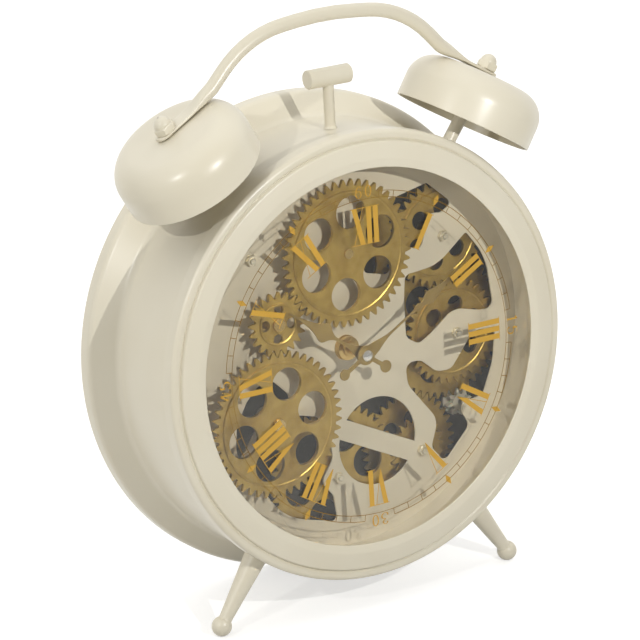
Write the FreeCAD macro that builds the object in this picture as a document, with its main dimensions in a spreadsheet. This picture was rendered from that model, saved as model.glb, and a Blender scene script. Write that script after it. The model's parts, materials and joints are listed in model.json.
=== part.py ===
# Twin-bell table clock with an open gear train behind the crystal.
# Millimetres. The clock frame has its origin on the dial axis at the crystal's front face:
# X to the right, Y into the clock, Z up the dial. The whole clock then leans back on its flange.
import FreeCAD, Part
import math
import os
import Sketcher
from FreeCAD import Placement, Rotation, Vector

SIZES = {
    # Casing, spun sheet; the drum's radius carries every other radius with it
    "drum_radius": 133.0,
    "drum_wall": 1.5,
    "drum_front": 3.2,
    "flare_front": 66.5,
    "flare_back": 79.0,
    "flange_proud": 13.7,
    "flange_back": 88.0,
    "bead_proud": 3.0,
    "bezel_skirt_back": 10.5,
    "bezel_lap": 11.9,
    "fit_gap": 0.15,
    # Crystal, gasket, liner and dial
    "crystal_set_in": 7.0,
    "crystal_thick": 2.5,
    "gasket_thick": 0.8,
    "gasket_lap": 3.0,
    "liner_wall": 1.2,
    "dial_front": 30.0,
    "dial_thick": 1.2,
    "ledge_width": 3.0,
    "stay_width": 9.0,
    "stay_reach": 42.0,
    "pad_radius": 9.5,
    "bar_width": 12.4,
    # Rear plate and back cover
    "plate_front": 50.0,
    "plate_thick": 1.2,
    "plate_set_in": 6.0,
    "cover_front": 64.0,
    "cover_thick": 1.2,
    "cover_screw_set_in": 9.0,
    # Gears, their pins and bushes
    "gear_module": 1.783,
    "backlash": 0.5,
    "gear_thick": 2.2,
    "gear_step": 0.5,
    "front_gears": 18.5,
    "near_gears": 34.5,
    "far_gears": 44.0,
    "pin_radius": 2.5,
    "thread_radius": 1.5,
    "thread_end": 0.8,
    "arbor_radius": 3.0,
    "arbor_proud": 1.0,
    "run_gap": 0.05,
    "end_gap": 0.3,
    "hub_radius": 5.5,
    "bush_lip_radius": 7.5,
    "bush_lip": 1.2,
    "stud_head_radius": 4.0,
    "stud_head": 1.6,
    "stud_foot_radius": 7.0,
    "stud_foot": 1.5,
    "pinion_wide": 3.4,
    # Nuts
    "small_nut_flats": 6.0,
    "dial_nut": 3.0,
    "leg_nut": 4.0,
    "leg_nut_flats": 8.0,
    "movement_nut_flats": 13.0,
    "movement_nut": 2.5,
    "acorn_flats": 10.0,
    "acorn_height": 5.0,
    "acorn_dome_radius": 4.4,
    # Hands
    "tube_radius": 2.6,
    "shaft_radius": 1.5,
    "collar_radius": 6.0,
    "collar_height": 3.5,
    "minute_front": 6.6,
    "hour_front": 9.0,
    "hand_thick": 0.8,
    "minute_length": 86.0,
    "hour_length": 61.0,
    "hand_tail": 18.0,
    "tail_disc_radius": 2.9,
    "leaf_half_width": 5.5,
    "hand_boss": 2.2,
    "cap_radius": 3.25,
    "cap_height": 3.1,
    # Movement and drive
    "movement_side": 56.0,
    "movement_back": 68.0,
    "movement_corner": 4.0,
    "bush_radius": 4.5,
    "bush_proud": 4.5,
    "pivot_depth": 4.0,
    "cell_radius": 7.25,
    "cell_length": 50.5,
    "knob_radius": 7.0,
    "knob_height": 4.5,
    "flute_depth": 0.5,
    "motor_radius": 12.0,
    "motor_back": 63.5,
    "ear_reach": 7.0,
    "ear_thick": 1.5,
    "small_screw": 1.4,
    "screw_head": 2.7,
    "screw_head_thick": 1.6,
    "boss_radius": 9.0,
    "boss_proud": 1.5,
    "box_wall": 1.5,
    "box_end_room": 1.6,
    "flange_thick": 1.2,
    "flange_wide": 3.0,
    "contact_thick": 0.4,
    "contact_side": 10.0,
    "contact_bump": 2.5,
    "bracket_thick": 2.5,
    "bracket_margin": 3.0,
    "slider_width": 5.0,
    "slider_height": 4.0,
    "slider_proud": 1.8,
    "switch_depth": 5.0,
    "box_front": 53.0,
    "box_centre_z": -82.0,
    "door_thick": 1.4,
    "door_travel": 40.0,
    "rib_width": 1.2,
    "rib_height": 14.0,
    "rib_proud": 0.8,
    "switch_travel": 4.0,
    # Bells, posts and handle
    "bell_lift": 19.57,
    "bell_y": 33.3,
    "bell_radius": 42.6,
    "bell_height": 31.8,
    "bell_shoulder": 17.0,
    "bell_wall": 1.2,
    "crown_radius": 10.0,
    "crown_drop": 1.4,
    "post_radius": 4.0,
    "stud_radius": 3.0,
    "spigot_radius": 2.5,
    "tongue_length": 16.0,
    "tongue_tip": 8.0,
    "tongue_thick": 2.2,
    "tongue_width": 10.0,
    "tongue_lift": 0.5,
    "tube_handle_radius": 4.2,
    "tube_start": 30.0,
    "tube_lift": 3.3,
    "end_run": 6.6,
    "end_bend": 12.0,
    "knee_bend": 66.0,
    "crest_bend": 190.0,
    "crest_rise": 6.0,
    "handle_rise": 69.5,
    # Hammer
    "hammer_y": 33.0,
    "hammer_rise": 31.0,
    "hammer_stem_radius": 3.3,
    "hammer_head_radius": 5.7,
    "hammer_half": 14.4,
    "stem_sink": 2.0,
    # Legs
    "leg_y": 18.0,
    "leg_length": 47.5,
    "foot_radius": 6.1,
    "foot_flat": 2.0,
    "leg_top_radius": 7.1,
    "leg_neck_radius": 4.0,
    "seat_gap": 0.2,
}

# The bezel's face from its opening outwards and its bead from the rim inwards: (distance, depth, rounding)
BEZEL_FACE = [(0.0, -0.9, 0), (5.0, -1.8, 6), (15.1, -0.5, 1.2), (15.9, 1.6, 0.3)]
BEZEL_BEAD = [(-4.7, 0.6, 0.8), (0.0, 0.4, 2.7)]

# Window corners in the dial, as (x, z, rounding), each a through cut
WINDOW_TOP = [
    (11.0, 86.5, 3), (37.0, 84.0, 20), (63.0, 89.5, 2.5), (81.0, 74.0, 3), (72.0, 69.5, 4), (64.0, 70.5, 5),
    (56.5, 49.0, 4), (43.0, 55.0, 6), (33.0, 38.5, 4), (15.5, 42.5, 4), (17.0, 68.0, 12),
]
WINDOW_RIGHT = [
    (89.6, 54.4, 2), (103.0, 37.0, 40), (107.5, 3.5, 5), (97.5, 3.8, 8), (78.5, 8.6, 14), (61.0, -4.2, 10),
    (52.5, -8.6, 5), (43.4, -3.0, 6), (43.2, 21.0, 60), (44.6, 35.8, 4), (68.0, 37.6, 30),
]
WINDOW_LOW_RIGHT = [
    (108.0, -9.0, 3), (105.5, -30.0, 30), (97.0, -50.0, 5), (82.0, -51.5, 3), (81.0, -57.5, 4),
    (86.5, -67.0, 5), (67.3, -86.5, 4), (58.0, -75.0, 5), (63.5, -58.5, 12), (43.0, -32.5, 12),
    (42.0, -18.5, 5), (53.0, -19.0, 8), (64.0, -28.2, 10), (74.5, -29.2, 8), (92.0, -8.0, 8),
]
WINDOW_LOW_LEFT = [
    (-51.0, -11.0, 4), (-41.0, -21.0, 5), (-40.0, -34.0, 6), (-21.5, -39.0, 6), (-14.0, -52.0, 10),
    (-12.4, -67.0, 8), (-21.5, -80.0, 5), (-13.5, -90.0, 6), (-11.2, -107.0, 3), (-50.0, -96.5, 40),
    (-57.0, -84.0, 6), (-79.5, -51.0, 20), (-77.5, -33.0, 10), (-70.0, -20.0, 6), (-62.0, -12.0, 4),
]
ROUND_WINDOW = (19.5, -62.5)
ROUND_WINDOW_RADIUS = 27.3
BAR_ANGLE = 26.0
STAY_ANGLE = 217.0

# Gear centres: the top arbor, then each next one by its clock angle from the last
TOP_ARBOR = (-1.65, 60.1)
SMALL_ANGLE = 236.4
LOW_ANGLE = 183.6
UPPER_ANGLE = 93.7
RIGHT_ANGLE = 173.6
LOWER_RIGHT_ANGLE = 202.6
LOWER_ANGLE = 266.0
PINION_ANGLE = 169.0
TOP_TOOTH_ANGLE = 104.0
PILLAR = (-62.2, 65.2)

# Teeth of each kind of gear, and its number of windows with the shares of the pitch radius
# that their circle, each window and the raised disc have
BIG_TEETH, MIDDLE_TEETH, LITTLE_TEETH, PINION_TEETH = 48, 35, 20, 8
GEAR_FORM = {
    BIG_TEETH: (6, 0.577, 0.2337, 0.888),
    MIDDLE_TEETH: (6, 0.5288, 0.1763, 0.859),
    LITTLE_TEETH: (4, 0.5047, 0.1795, 0.718),
}

# Attitudes of the hands, the bells and the legs
MINUTE_ANGLE = 60.0
HOUR_ANGLE = 305.0
BELL_ANGLE = 37.651
BELL_TILT_ANGLE = 30.6
BELL_FORWARD_ANGLE = 2.0
LEG_ANGLE = 34.57

# Each hand's half outline as (share of its length, share of its half width, rounding)
HOUR_LEAF = [(-0.3, 0.22, 0), (0.40, 0.24, 3), (0.50, 1.0, 2), (0.545, 0.62, 1), (0.60, 1.0, 3),
             (0.75, 0.42, 8), (1.0, 0.04, 0)]
MINUTE_LEAF = [(-0.21, 0.24, 0), (0.46, 0.26, 3), (0.51, 0.72, 1.5), (0.555, 0.46, 1), (0.62, 1.0, 3),
               (0.80, 0.26, 12), (1.0, 0.04, 0)]

# Share of the crown's distance from the middle at which the handle bends to its crest
KNEE_SHARE = 0.498

# Back of the clock: the setting knob, the movement's cell, the switch, the door's ribs and the cover's screws
KNOB = (13.0, 12.0)
KNOB_FLUTES = 20
CELL_Z = -16.0
SWITCH = (-62.0, -70.0)
RIB_PLACES = (-24.0, -21.0, -18.0, -15.0)
COVER_SCREW_ANGLES = (45, 135, 225, 315)

doc = FreeCAD.newDocument("table_clock")
sheet = doc.addObject("Spreadsheet::Sheet", "sizes")
for row, (name, value) in enumerate(SIZES.items(), start=1):
    sheet.set(f"A{row}", name)
    sheet.set(f"B{row}", str(value))
    sheet.setAlias(f"B{row}", name)
doc.recompute()


class Size:
    """A length that remembers the sheet cells it is worked out from."""

    def __init__(self, number, formula):
        self.number = float(number)
        self.formula = formula

    def joined(self, sign, other, number):
        text = other.formula if isinstance(other, Size) else repr(float(other))
        return Size(number, f"({self.formula} {sign} {text})")

    def __float__(self):
        return self.number

    def __add__(self, other):
        return self.joined("+", other, self.number + float(other))

    def __sub__(self, other):
        return self.joined("-", other, self.number - float(other))

    def __mul__(self, other):
        return self.joined("*", other, self.number * float(other))

    def __truediv__(self, other):
        return self.joined("/", other, self.number / float(other))

    def __radd__(self, other):
        return Size(float(other) + self.number, f"({float(other)!r} + {self.formula})")

    def __neg__(self):
        return Size(-self.number, f"(0 - {self.formula})")


class Cells:
    """Each size of the sheet as an attribute."""


mm = Cells()
for name in SIZES:
    setattr(mm, name, Size(getattr(sheet, name), f"{sheet.Name}.{name}"))

mm.flange_radius = mm.drum_radius + mm.flange_proud
mm.bead_radius = mm.drum_radius + mm.bead_proud
mm.crystal_radius = mm.drum_radius - mm.crystal_set_in
mm.bezel_opening = mm.crystal_radius - mm.bezel_lap
mm.liner_inner = mm.crystal_radius - mm.gasket_lap
mm.plate_radius = mm.drum_radius - mm.plate_set_in
mm.cover_screw_circle = mm.drum_radius - mm.cover_screw_set_in
mm.handle_top = mm.drum_radius + mm.handle_rise
mm.hammer_z = mm.drum_radius + mm.hammer_rise
mm.foot_reach = mm.drum_radius + mm.leg_length

nodes = {}


def give(thing, path, size):
    """Sets a property, bound to the sheet where the size comes from it."""
    if isinstance(size, Size):
        thing.setExpression(path, size.formula)
    elif "." not in path:
        setattr(thing, path, float(size))


def keep(label, thing, place=None):
    """Names a finished piece and gives it its place in the clock frame."""
    thing.Label = label
    if place is not None:
        thing.Placement = place
    nodes[label] = thing
    return thing


def facing(x, y, z, turn=0.0):
    """Place of a piece whose own Y axis points into the clock, turned clockwise as seen from the front."""
    return Placement(Vector(float(x), float(y), float(z)), Rotation(Vector(0, 1, 0), turn))


def at_clock(centre, angle, reach):
    """The point at a clock angle and a distance from a centre."""
    turn = math.radians(angle)
    return centre[0] + reach * math.sin(turn), centre[1] + reach * math.cos(turn)


def fix_point(sketch, geometry, point, corner):
    """Holds a point of a sketch at its distances from the origin."""
    for kind, size in (("DistanceX", corner[0]), ("DistanceY", corner[1])):
        index = sketch.addConstraint(Sketcher.Constraint(kind, -1, 1, geometry, point, float(size)))
        if isinstance(size, Size):
            sketch.setExpression(f"Constraints[{index}]", size.formula)


def outline(sketch, corners):
    """Draws a closed outline of lines, with an arc at each corner (x, y, radius) and none at (x, y)."""
    count = len(corners)
    points = [Vector(float(corner[0]), float(corner[1]), 0) for corner in corners]
    ends = []
    arcs = {}
    for i, here in enumerate(points):
        radius = float(corners[i][2]) if len(corners[i]) > 2 else 0.0
        if not radius:
            ends.append((here, here))
            continue
        behind = (points[i - 1] - here).normalize()
        ahead = (points[(i + 1) % count] - here).normalize()
        half = behind.getAngle(ahead) / 2
        reach = radius / math.tan(half)
        centre = here + (behind + ahead).normalize() * (radius / math.sin(half))
        first, last = here + behind * reach, here + ahead * reach
        ends.append((first, last))
        left_turn = behind.cross(ahead).z < 0
        start, stop = (first, last) if left_turn else (last, first)
        turns = [math.atan2(end.y - centre.y, end.x - centre.x) for end in (start, stop)]
        circle = Part.Circle(centre, Vector(0, 0, 1), radius)
        arcs[i] = (sketch.addGeometry(Part.ArcOfCircle(circle, turns[0], turns[1])), left_turn)
    lines = [
        sketch.addGeometry(Part.LineSegment(ends[i][1], ends[(i + 1) % count][0])) for i in range(count)
    ]
    for i, corner in enumerate(corners):
        before, after = lines[i - 1], lines[i]
        if i not in arcs:
            sketch.addConstraint(Sketcher.Constraint("Coincident", before, 2, after, 1))
            fix_point(sketch, after, 1, corner)
            continue
        arc, left_turn = arcs[i]
        start, stop = (1, 2) if left_turn else (2, 1)
        sketch.addConstraint(Sketcher.Constraint("Tangent", before, 2, arc, start))
        sketch.addConstraint(Sketcher.Constraint("Tangent", arc, stop, after, 1))
        index = sketch.addConstraint(Sketcher.Constraint("Radius", arc, float(corner[2])))
        if isinstance(corner[2], Size):
            sketch.setExpression(f"Constraints[{index}]", corner[2].formula)
        tip = sketch.addGeometry(Part.Point(points[i]), True)
        sketch.addConstraint(Sketcher.Constraint("PointOnObject", tip, 1, before))
        sketch.addConstraint(Sketcher.Constraint("PointOnObject", tip, 1, after))
        fix_point(sketch, tip, 1, corner)


def new_sketch(body, name, plane):
    """A sketch on one of the body's own origin planes."""
    sketch = body.newObject("Sketcher::SketchObject", name)
    support = [feature for feature in body.Origin.OriginFeatures if feature.Role == plane][0]
    sketch.AttachmentSupport = (support, [""])
    sketch.MapMode = "FlatFace"
    return sketch


def revolved(name, corners):
    """A body turned about the Y axis from a profile of (radius, depth) corners."""
    body = doc.addObject("PartDesign::Body", name)
    sketch = new_sketch(body, name + "_profile", "XY_Plane")
    outline(sketch, corners)
    turn = body.newObject("PartDesign::Revolution", name + "_turn")
    turn.Profile = sketch
    turn.ReferenceAxis = (sketch, ["V_Axis"])
    turn.Angle = 360.0
    return body


def padded(body, name, corners, front, thick):
    """Adds a plate to a body, from an outline of (x, z) corners and a front face at a depth."""
    sketch = new_sketch(body, name + "_outline", "XZ_Plane")
    outline(sketch, corners)
    sketch.setExpression("AttachmentOffset.Base.z", f"0 - {front.formula}")
    pad = body.newObject("PartDesign::Pad", name + "_pad")
    pad.Profile = sketch
    pad.Reversed = True
    give(pad, "Length", thick)
    return pad


def rod(name, radius, front, length, x=0.0, z=0.0):
    """A cylinder along the depth of the clock."""
    cylinder = doc.addObject("Part::Cylinder", name)
    give(cylinder, "Radius", radius)
    give(cylinder, "Height", length)
    cylinder.Placement = Placement(Vector(float(x), float(front), float(z)), Rotation(Vector(1, 0, 0), -90))
    give(cylinder, "Placement.Base.y", front)
    return cylinder


def spoke(name, radius, inner, outer, angle, y):
    """A cylinder along a radius of the drum, at a clock angle."""
    cylinder = doc.addObject("Part::Cylinder", name)
    give(cylinder, "Radius", radius)
    give(cylinder, "Height", outer - inner)
    x, z = at_clock((0, 0), angle, float(inner))
    cylinder.Placement = Placement(Vector(x, float(y), z), Rotation(Vector(0, 1, 0), angle))
    return cylinder


def block(name, width, depth, height, x, front, z):
    """A box centred on x and z, with its front face at a depth."""
    box = doc.addObject("Part::Box", name)
    give(box, "Length", width)
    give(box, "Width", depth)
    give(box, "Height", height)
    box.Placement = facing(float(x) - float(width) / 2, front, float(z) - float(height) / 2)
    give(box, "Placement.Base.y", front)
    return box


def fused(name, parts):
    """One solid of several."""
    union = doc.addObject("Part::MultiFuse", name)
    union.Shapes = parts
    union.Refine = True
    return union


def cut(name, base, tools):
    """A piece with every tool taken out of it."""
    tool = tools[0]
    if len(tools) > 1:
        tool = doc.addObject("Part::Compound", name + "_cutters")
        tool.Links = tools
    result = doc.addObject("Part::Cut", name)
    result.Base = base
    result.Tool = tool
    return result


def group(name, shape, places):
    """Like pieces, each a solid of its own."""
    copies = []
    for place in places:
        copy = shape.copy()
        copy.Placement = place.multiply(shape.Placement)
        copies.append(copy)
    thing = doc.addObject("Part::Feature", name)
    thing.Shape = Part.makeCompound(copies)
    return thing


def hexagon(flats, height):
    """A hexagon prism along Y from the origin."""
    corner = float(flats) / math.sqrt(3)
    points = [Vector(corner * math.cos(turn * math.pi / 3), 0, corner * math.sin(turn * math.pi / 3))
              for turn in range(7)]
    return Part.Face(Part.makePolygon(points)).extrude(Vector(0, float(height), 0))


def hex_nut(flats, height, bore):
    """A hexagon nut along Y with its front face at the origin."""
    hole = Part.makeCylinder(float(bore), float(height), Vector(0, 0, 0), Vector(0, 1, 0))
    return hexagon(flats, height).cut(hole)


# Spur gears: straight-flanked teeth set on involute thicknesses

PRESSURE = math.radians(20.0)
DEDENDUM = 1.2
ROOT_SHARE = 0.384
PINION_ROOT_SHARE = 0.82


def pitch_radius(teeth):
    return float(mm.gear_module) * teeth / 2


def centre_distance(first, second):
    return pitch_radius(first) + pitch_radius(second)


def meshed_tooth(tooth, teeth, line, next_teeth):
    """Clock angle of a tooth of the next gear, in mesh with this one along a line from centre to centre."""
    offset = 0.5 - (line - tooth) / (360 / teeth)
    return line + 180 - offset * 360 / next_teeth


def half_thickness(teeth, radius):
    """Half the angle of a tooth at a radius, in radians."""
    pitch = pitch_radius(teeth)
    base = pitch * math.cos(PRESSURE)
    angle = math.acos(min(1.0, base / radius))
    arc = math.pi * pitch / teeth - float(mm.backlash)
    return arc / (2 * pitch) + math.tan(PRESSURE) - PRESSURE - math.tan(angle) + angle


def toothed_face(teeth, tooth, bore, windows=()):
    """Flat gear outline in the XZ plane with its bore and its round windows (x, z, radius)."""
    pitch = pitch_radius(teeth)
    tip = pitch + float(mm.gear_module)
    root = pitch - DEDENDUM * float(mm.gear_module)
    at_tip = half_thickness(teeth, tip)
    at_pitch = half_thickness(teeth, pitch)
    at_root = at_pitch + (at_pitch - at_tip) * (pitch - root) / (tip - pitch)
    flank = [(root, min(at_root, ROOT_SHARE * 2 * math.pi / teeth)), (tip, at_tip)]
    if teeth == PINION_TEETH:
        flank = [(root, at_pitch * PINION_ROOT_SHARE), (pitch, at_pitch), (tip, at_tip)]
    points = []
    for number in range(teeth):
        middle = math.radians(tooth + number * 360 / teeth)
        for radius, half in flank:
            points.append((radius, middle - half))
        for radius, half in reversed(flank):
            points.append((radius, middle + half))
    ring = [Vector(radius * math.sin(turn), 0, radius * math.cos(turn)) for radius, turn in points]
    wires = [Part.makePolygon(ring + ring[:1])]
    for x, z, radius in [(0, 0, bore)] + list(windows):
        wires.append(Part.Wire([Part.makeCircle(radius, Vector(x, 0, z), Vector(0, 1, 0))]))
    return Part.Face(wires, "Part::FaceMakerBullseye")


def gear_windows(teeth, angle):
    """Places (x, z, radius) of a gear's round windows."""
    count, circle, radius, disc = GEAR_FORM[teeth]
    pitch = pitch_radius(teeth)
    return [at_clock((0, 0), angle + turn * 360 / count, circle * pitch) + (radius * pitch,)
            for turn in range(count)]


def gear(teeth, tooth, bore, window_angle, hub_front, hub_back, raised_disc=True):
    """A gear with its teeth from 0 into the depth, a raised disc before them and a hub."""
    thick, step = float(mm.gear_thick), float(mm.gear_step)
    hub_radius = float(mm.hub_radius)
    windows = gear_windows(teeth, window_angle)
    shape = toothed_face(teeth, tooth, bore, windows).extrude(Vector(0, thick, 0))
    if raised_disc:
        disc_radius = GEAR_FORM[teeth][3] * pitch_radius(teeth)
        wires = [Part.Wire([Part.makeCircle(disc_radius, Vector(0, -step, 0), Vector(0, 1, 0))])]
        for x, z, radius in [(0, 0, bore)] + list(windows):
            wires.append(Part.Wire([Part.makeCircle(radius, Vector(x, -step, z), Vector(0, 1, 0))]))
        raised = Part.Face(wires, "Part::FaceMakerBullseye").extrude(Vector(0, step, 0))
        shape = shape.fuse(raised)
    for low, high in ((hub_front, 0.0), (thick, hub_back)):
        if high > low:
            outer = Part.makeCylinder(hub_radius, high - low, Vector(0, low, 0), Vector(0, 1, 0))
            inner = Part.makeCylinder(bore, high - low, Vector(0, low, 0), Vector(0, 1, 0))
            shape = shape.fuse(outer.cut(inner))
    return shape.removeSplitter()


def feature(name, shape):
    """A piece whose form comes from a formula."""
    thing = doc.addObject("Part::Feature", name)
    thing.Shape = shape
    return thing


# Where the gears stand

small_centre = at_clock(TOP_ARBOR, SMALL_ANGLE, centre_distance(BIG_TEETH, LITTLE_TEETH))
low_centre = at_clock(small_centre, LOW_ANGLE, centre_distance(LITTLE_TEETH, BIG_TEETH))
upper_centre = at_clock(TOP_ARBOR, UPPER_ANGLE, centre_distance(BIG_TEETH, MIDDLE_TEETH))
right_centre = at_clock(upper_centre, RIGHT_ANGLE, centre_distance(MIDDLE_TEETH, MIDDLE_TEETH))
lower_right_centre = at_clock(right_centre, LOWER_RIGHT_ANGLE, centre_distance(BIG_TEETH, MIDDLE_TEETH))
lower_centre = at_clock(lower_right_centre, LOWER_ANGLE, centre_distance(LITTLE_TEETH, BIG_TEETH))
pinion_centre = at_clock(right_centre, PINION_ANGLE, centre_distance(BIG_TEETH, PINION_TEETH))

small_tooth = meshed_tooth(TOP_TOOTH_ANGLE, BIG_TEETH, SMALL_ANGLE, LITTLE_TEETH)
low_tooth = meshed_tooth(small_tooth, LITTLE_TEETH, LOW_ANGLE, BIG_TEETH)
upper_tooth = meshed_tooth(TOP_TOOTH_ANGLE, BIG_TEETH, UPPER_ANGLE, MIDDLE_TEETH)
right_near_tooth = meshed_tooth(upper_tooth, MIDDLE_TEETH, RIGHT_ANGLE, MIDDLE_TEETH)
right_far_tooth = 0.0
lower_right_far_tooth = meshed_tooth(right_far_tooth, BIG_TEETH, LOWER_RIGHT_ANGLE, MIDDLE_TEETH)
lower_right_near_tooth = 0.0
lower_tooth = meshed_tooth(lower_right_near_tooth, LITTLE_TEETH, LOWER_ANGLE, BIG_TEETH)
pinion_tooth = meshed_tooth(right_far_tooth, BIG_TEETH, PINION_ANGLE, PINION_TEETH)

pin_centres = [upper_centre, right_centre, lower_right_centre, lower_centre, PILLAR]

dial_back = mm.dial_front + mm.dial_thick
plate_back = mm.plate_front + mm.plate_thick
cover_back = mm.cover_front + mm.cover_thick
drum_inner = mm.drum_radius - mm.drum_wall
liner_outer = drum_inner - mm.end_gap
pin_bore = mm.pin_radius + mm.run_gap
thread_hole = mm.thread_radius + mm.run_gap
arbor_bore = mm.arbor_radius + mm.run_gap
tube_back = plate_back + mm.pivot_depth / 2
pivot_back = tube_back + mm.pivot_depth
cells_high = mm.cell_radius * 2 + mm.end_gap * 2
box_width = mm.cell_length + (mm.box_wall + mm.box_end_room) * 2
box_height = mm.cell_radius * 4 + mm.box_wall * 2 + mm.end_gap * 3
box_back = mm.box_front + mm.box_wall + cells_high
cover_screws = [at_clock((0, 0), angle, float(mm.cover_screw_circle)) for angle in COVER_SCREW_ANGLES]
shaft_back = plate_back + mm.pivot_depth
motor_turn = math.degrees(math.atan2(*pinion_centre))
ear_screws = [at_clock(pinion_centre, motor_turn + side, float(mm.motor_radius + mm.ear_reach / 2))
              for side in (-90, 90)]
screw_hole = mm.small_screw + mm.run_gap


def bell_place(side):
    """Place of a bell: its own Y axis runs from the rim's centre to the crown."""
    tilt, forward = math.radians(BELL_TILT_ANGLE), math.radians(BELL_FORWARD_ANGLE)
    axis = Vector(side * math.sin(tilt) * math.cos(forward), -math.sin(forward),
                  math.cos(tilt) * math.cos(forward))
    x, z = at_clock((0, 0), side * BELL_ANGLE, float(mm.drum_radius + mm.bell_lift))
    return Placement(Vector(x, float(mm.bell_y), z), Rotation(Vector(0, 1, 0), axis))


crown = bell_place(1).multVec(Vector(0, float(mm.bell_height), 0))
post_angle = math.degrees(math.atan2(crown.x, crown.z))
post_y = crown.y
thread_top = mm.tongue_lift + mm.tongue_thick + mm.acorn_height - mm.end_gap
tube_end = Vector(float(mm.tube_start), float(mm.tube_lift), 0)

# Stance: the clock leans back until the flange's lowest point stands level with both feet

foot_flat_drop = math.sqrt(float(mm.foot_radius) ** 2 - float(mm.foot_flat) ** 2)
lever = float(mm.flange_back - mm.leg_y)
drop = float(mm.foot_reach) * math.cos(math.radians(LEG_ANGLE)) - float(mm.flange_radius)
lean = math.asin(foot_flat_drop / math.hypot(lever, drop)) + math.atan2(drop, lever)
lean_angle = math.degrees(lean)


# Casing


def make_drum():
    """Drum wall with its flared rear flange and the inner ledge behind the dial."""
    slope = math.atan2(float(mm.flange_proud), float(mm.flare_back - mm.flare_front))
    miter = mm.drum_wall * math.tan(slope / 2)
    ledge_front = dial_back + mm.fit_gap
    ledge_inner = drum_inner - mm.ledge_width
    flange_inner = mm.flange_radius - mm.drum_wall
    profile = [
        (mm.drum_radius, mm.drum_front),
        (mm.drum_radius, mm.flare_front, 8),
        (mm.flange_radius, mm.flare_back, 6),
        (mm.flange_radius, mm.flange_back),
        (flange_inner, mm.flange_back),
        (flange_inner, mm.flare_back + miter, 4.5),
        (drum_inner, mm.flare_front + miter, 9.5),
        (drum_inner, ledge_front + mm.drum_wall),
        (ledge_inner, ledge_front + mm.drum_wall),
        (ledge_inner, ledge_front),
        (drum_inner, ledge_front),
        (drum_inner, mm.drum_front),
    ]
    wall = revolved("drum_wall_body", profile)
    drilled = [("hammer_hole", 0, mm.hammer_y)]
    for side in (-1, 1):
        drilled.append(("leg_hole", 180 - side * LEG_ANGLE, mm.leg_y))
        drilled.append(("post_hole", side * post_angle, post_y))
    holes = [spoke(name, mm.spigot_radius + mm.run_gap, drum_inner - mm.drum_wall, mm.drum_radius + mm.drum_wall,
                   angle, y) for name, angle, y in drilled]
    keep("drum_shell", cut("drum_shell", wall, holes))


def make_bezel():
    """Front ring: a lip over the crystal, a sloping face, a rounded bead and a skirt over the drum."""
    seat = mm.crystal_radius + mm.fit_gap
    skirt = mm.drum_radius + mm.fit_gap
    step = mm.drum_front - mm.seat_gap
    profile = [(mm.bezel_opening, 0.0)]
    profile += [(mm.bezel_opening + out, depth, rounding) for out, depth, rounding in BEZEL_FACE]
    profile += [(mm.bead_radius + out, depth, rounding) for out, depth, rounding in BEZEL_BEAD]
    profile += [(mm.bead_radius, mm.bezel_skirt_back), (skirt, mm.bezel_skirt_back), (skirt, step),
                (seat, step), (seat, 0.0)]
    keep("front_bezel", revolved("front_bezel", profile))


def make_crystal():
    """Flat glass, its gasket and the liner ring that clamps both and holds the dial."""
    glass = rod("crystal", mm.crystal_radius, 0.0, mm.crystal_thick)
    keep("crystal", glass)
    gasket_back = mm.crystal_thick + mm.gasket_thick
    rubber_inner = mm.liner_inner + mm.seat_gap
    rubber = revolved("crystal_gasket", [
        (rubber_inner, mm.crystal_thick), (mm.crystal_radius, mm.crystal_thick),
        (mm.crystal_radius, gasket_back), (rubber_inner, gasket_back)])
    keep("crystal_gasket", rubber)
    wall_outer = mm.liner_inner + mm.liner_wall
    keep("liner_ring", revolved("liner_ring", [
        (mm.liner_inner, gasket_back), (liner_outer, gasket_back), (liner_outer, gasket_back + mm.liner_wall),
        (wall_outer, gasket_back + mm.liner_wall), (wall_outer, mm.dial_front - mm.liner_wall),
        (liner_outer, mm.dial_front - mm.liner_wall), (liner_outer, mm.dial_front),
        (mm.liner_inner, mm.dial_front)]))


def make_dial():
    """Dial plate: a disc with free-form windows, a split round window and holes for pins and arbors."""
    disc = rod("dial_disc", liner_outer, mm.dial_front, mm.dial_thick)
    windows = doc.addObject("PartDesign::Body", "dial_windows")
    for name, corners in (("top", WINDOW_TOP), ("right", WINDOW_RIGHT), ("low_right", WINDOW_LOW_RIGHT),
                          ("low_left", WINDOW_LOW_LEFT)):
        padded(windows, "window_" + name, corners, mm.dial_front, mm.dial_thick)
        doc.recompute()
    bar = block("bar", ROUND_WINDOW_RADIUS * 2.5, mm.dial_thick, mm.bar_width, 0, mm.dial_front, 0)
    turn = Placement(Vector(ROUND_WINDOW[0], 0, ROUND_WINDOW[1]), Rotation(Vector(0, 1, 0), BAR_ANGLE))
    bar.Placement = turn.multiply(bar.Placement)
    circle = rod("round_window", ROUND_WINDOW_RADIUS, mm.dial_front, mm.dial_thick, *ROUND_WINDOW)
    halves = cut("round_window_halves", circle, [bar])
    stay = block("stay", mm.stay_width, mm.dial_thick, mm.stay_reach, 0, mm.dial_front, mm.stay_reach / 2)
    turn = Placement(Vector(low_centre[0], 0, low_centre[1]), Rotation(Vector(0, 1, 0), STAY_ANGLE))
    stay.Placement = turn.multiply(stay.Placement)
    pad = rod("stud_pad", mm.pad_radius, mm.dial_front, mm.dial_thick, *low_centre)
    open_windows = cut("open_windows", windows, [stay, pad])
    holes = [open_windows, halves]
    for x, z in pin_centres + [small_centre, low_centre]:
        holes.append(rod("pin_hole", thread_hole, mm.dial_front, mm.dial_thick, x, z))
    holes.append(rod("bush_hole", mm.hub_radius, mm.dial_front, mm.dial_thick, *TOP_ARBOR))
    holes.append(rod("collar_hole", mm.tube_radius + mm.end_gap, mm.dial_front, mm.dial_thick))
    keep("dial_plate", cut("dial_plate", disc, holes))


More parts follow.
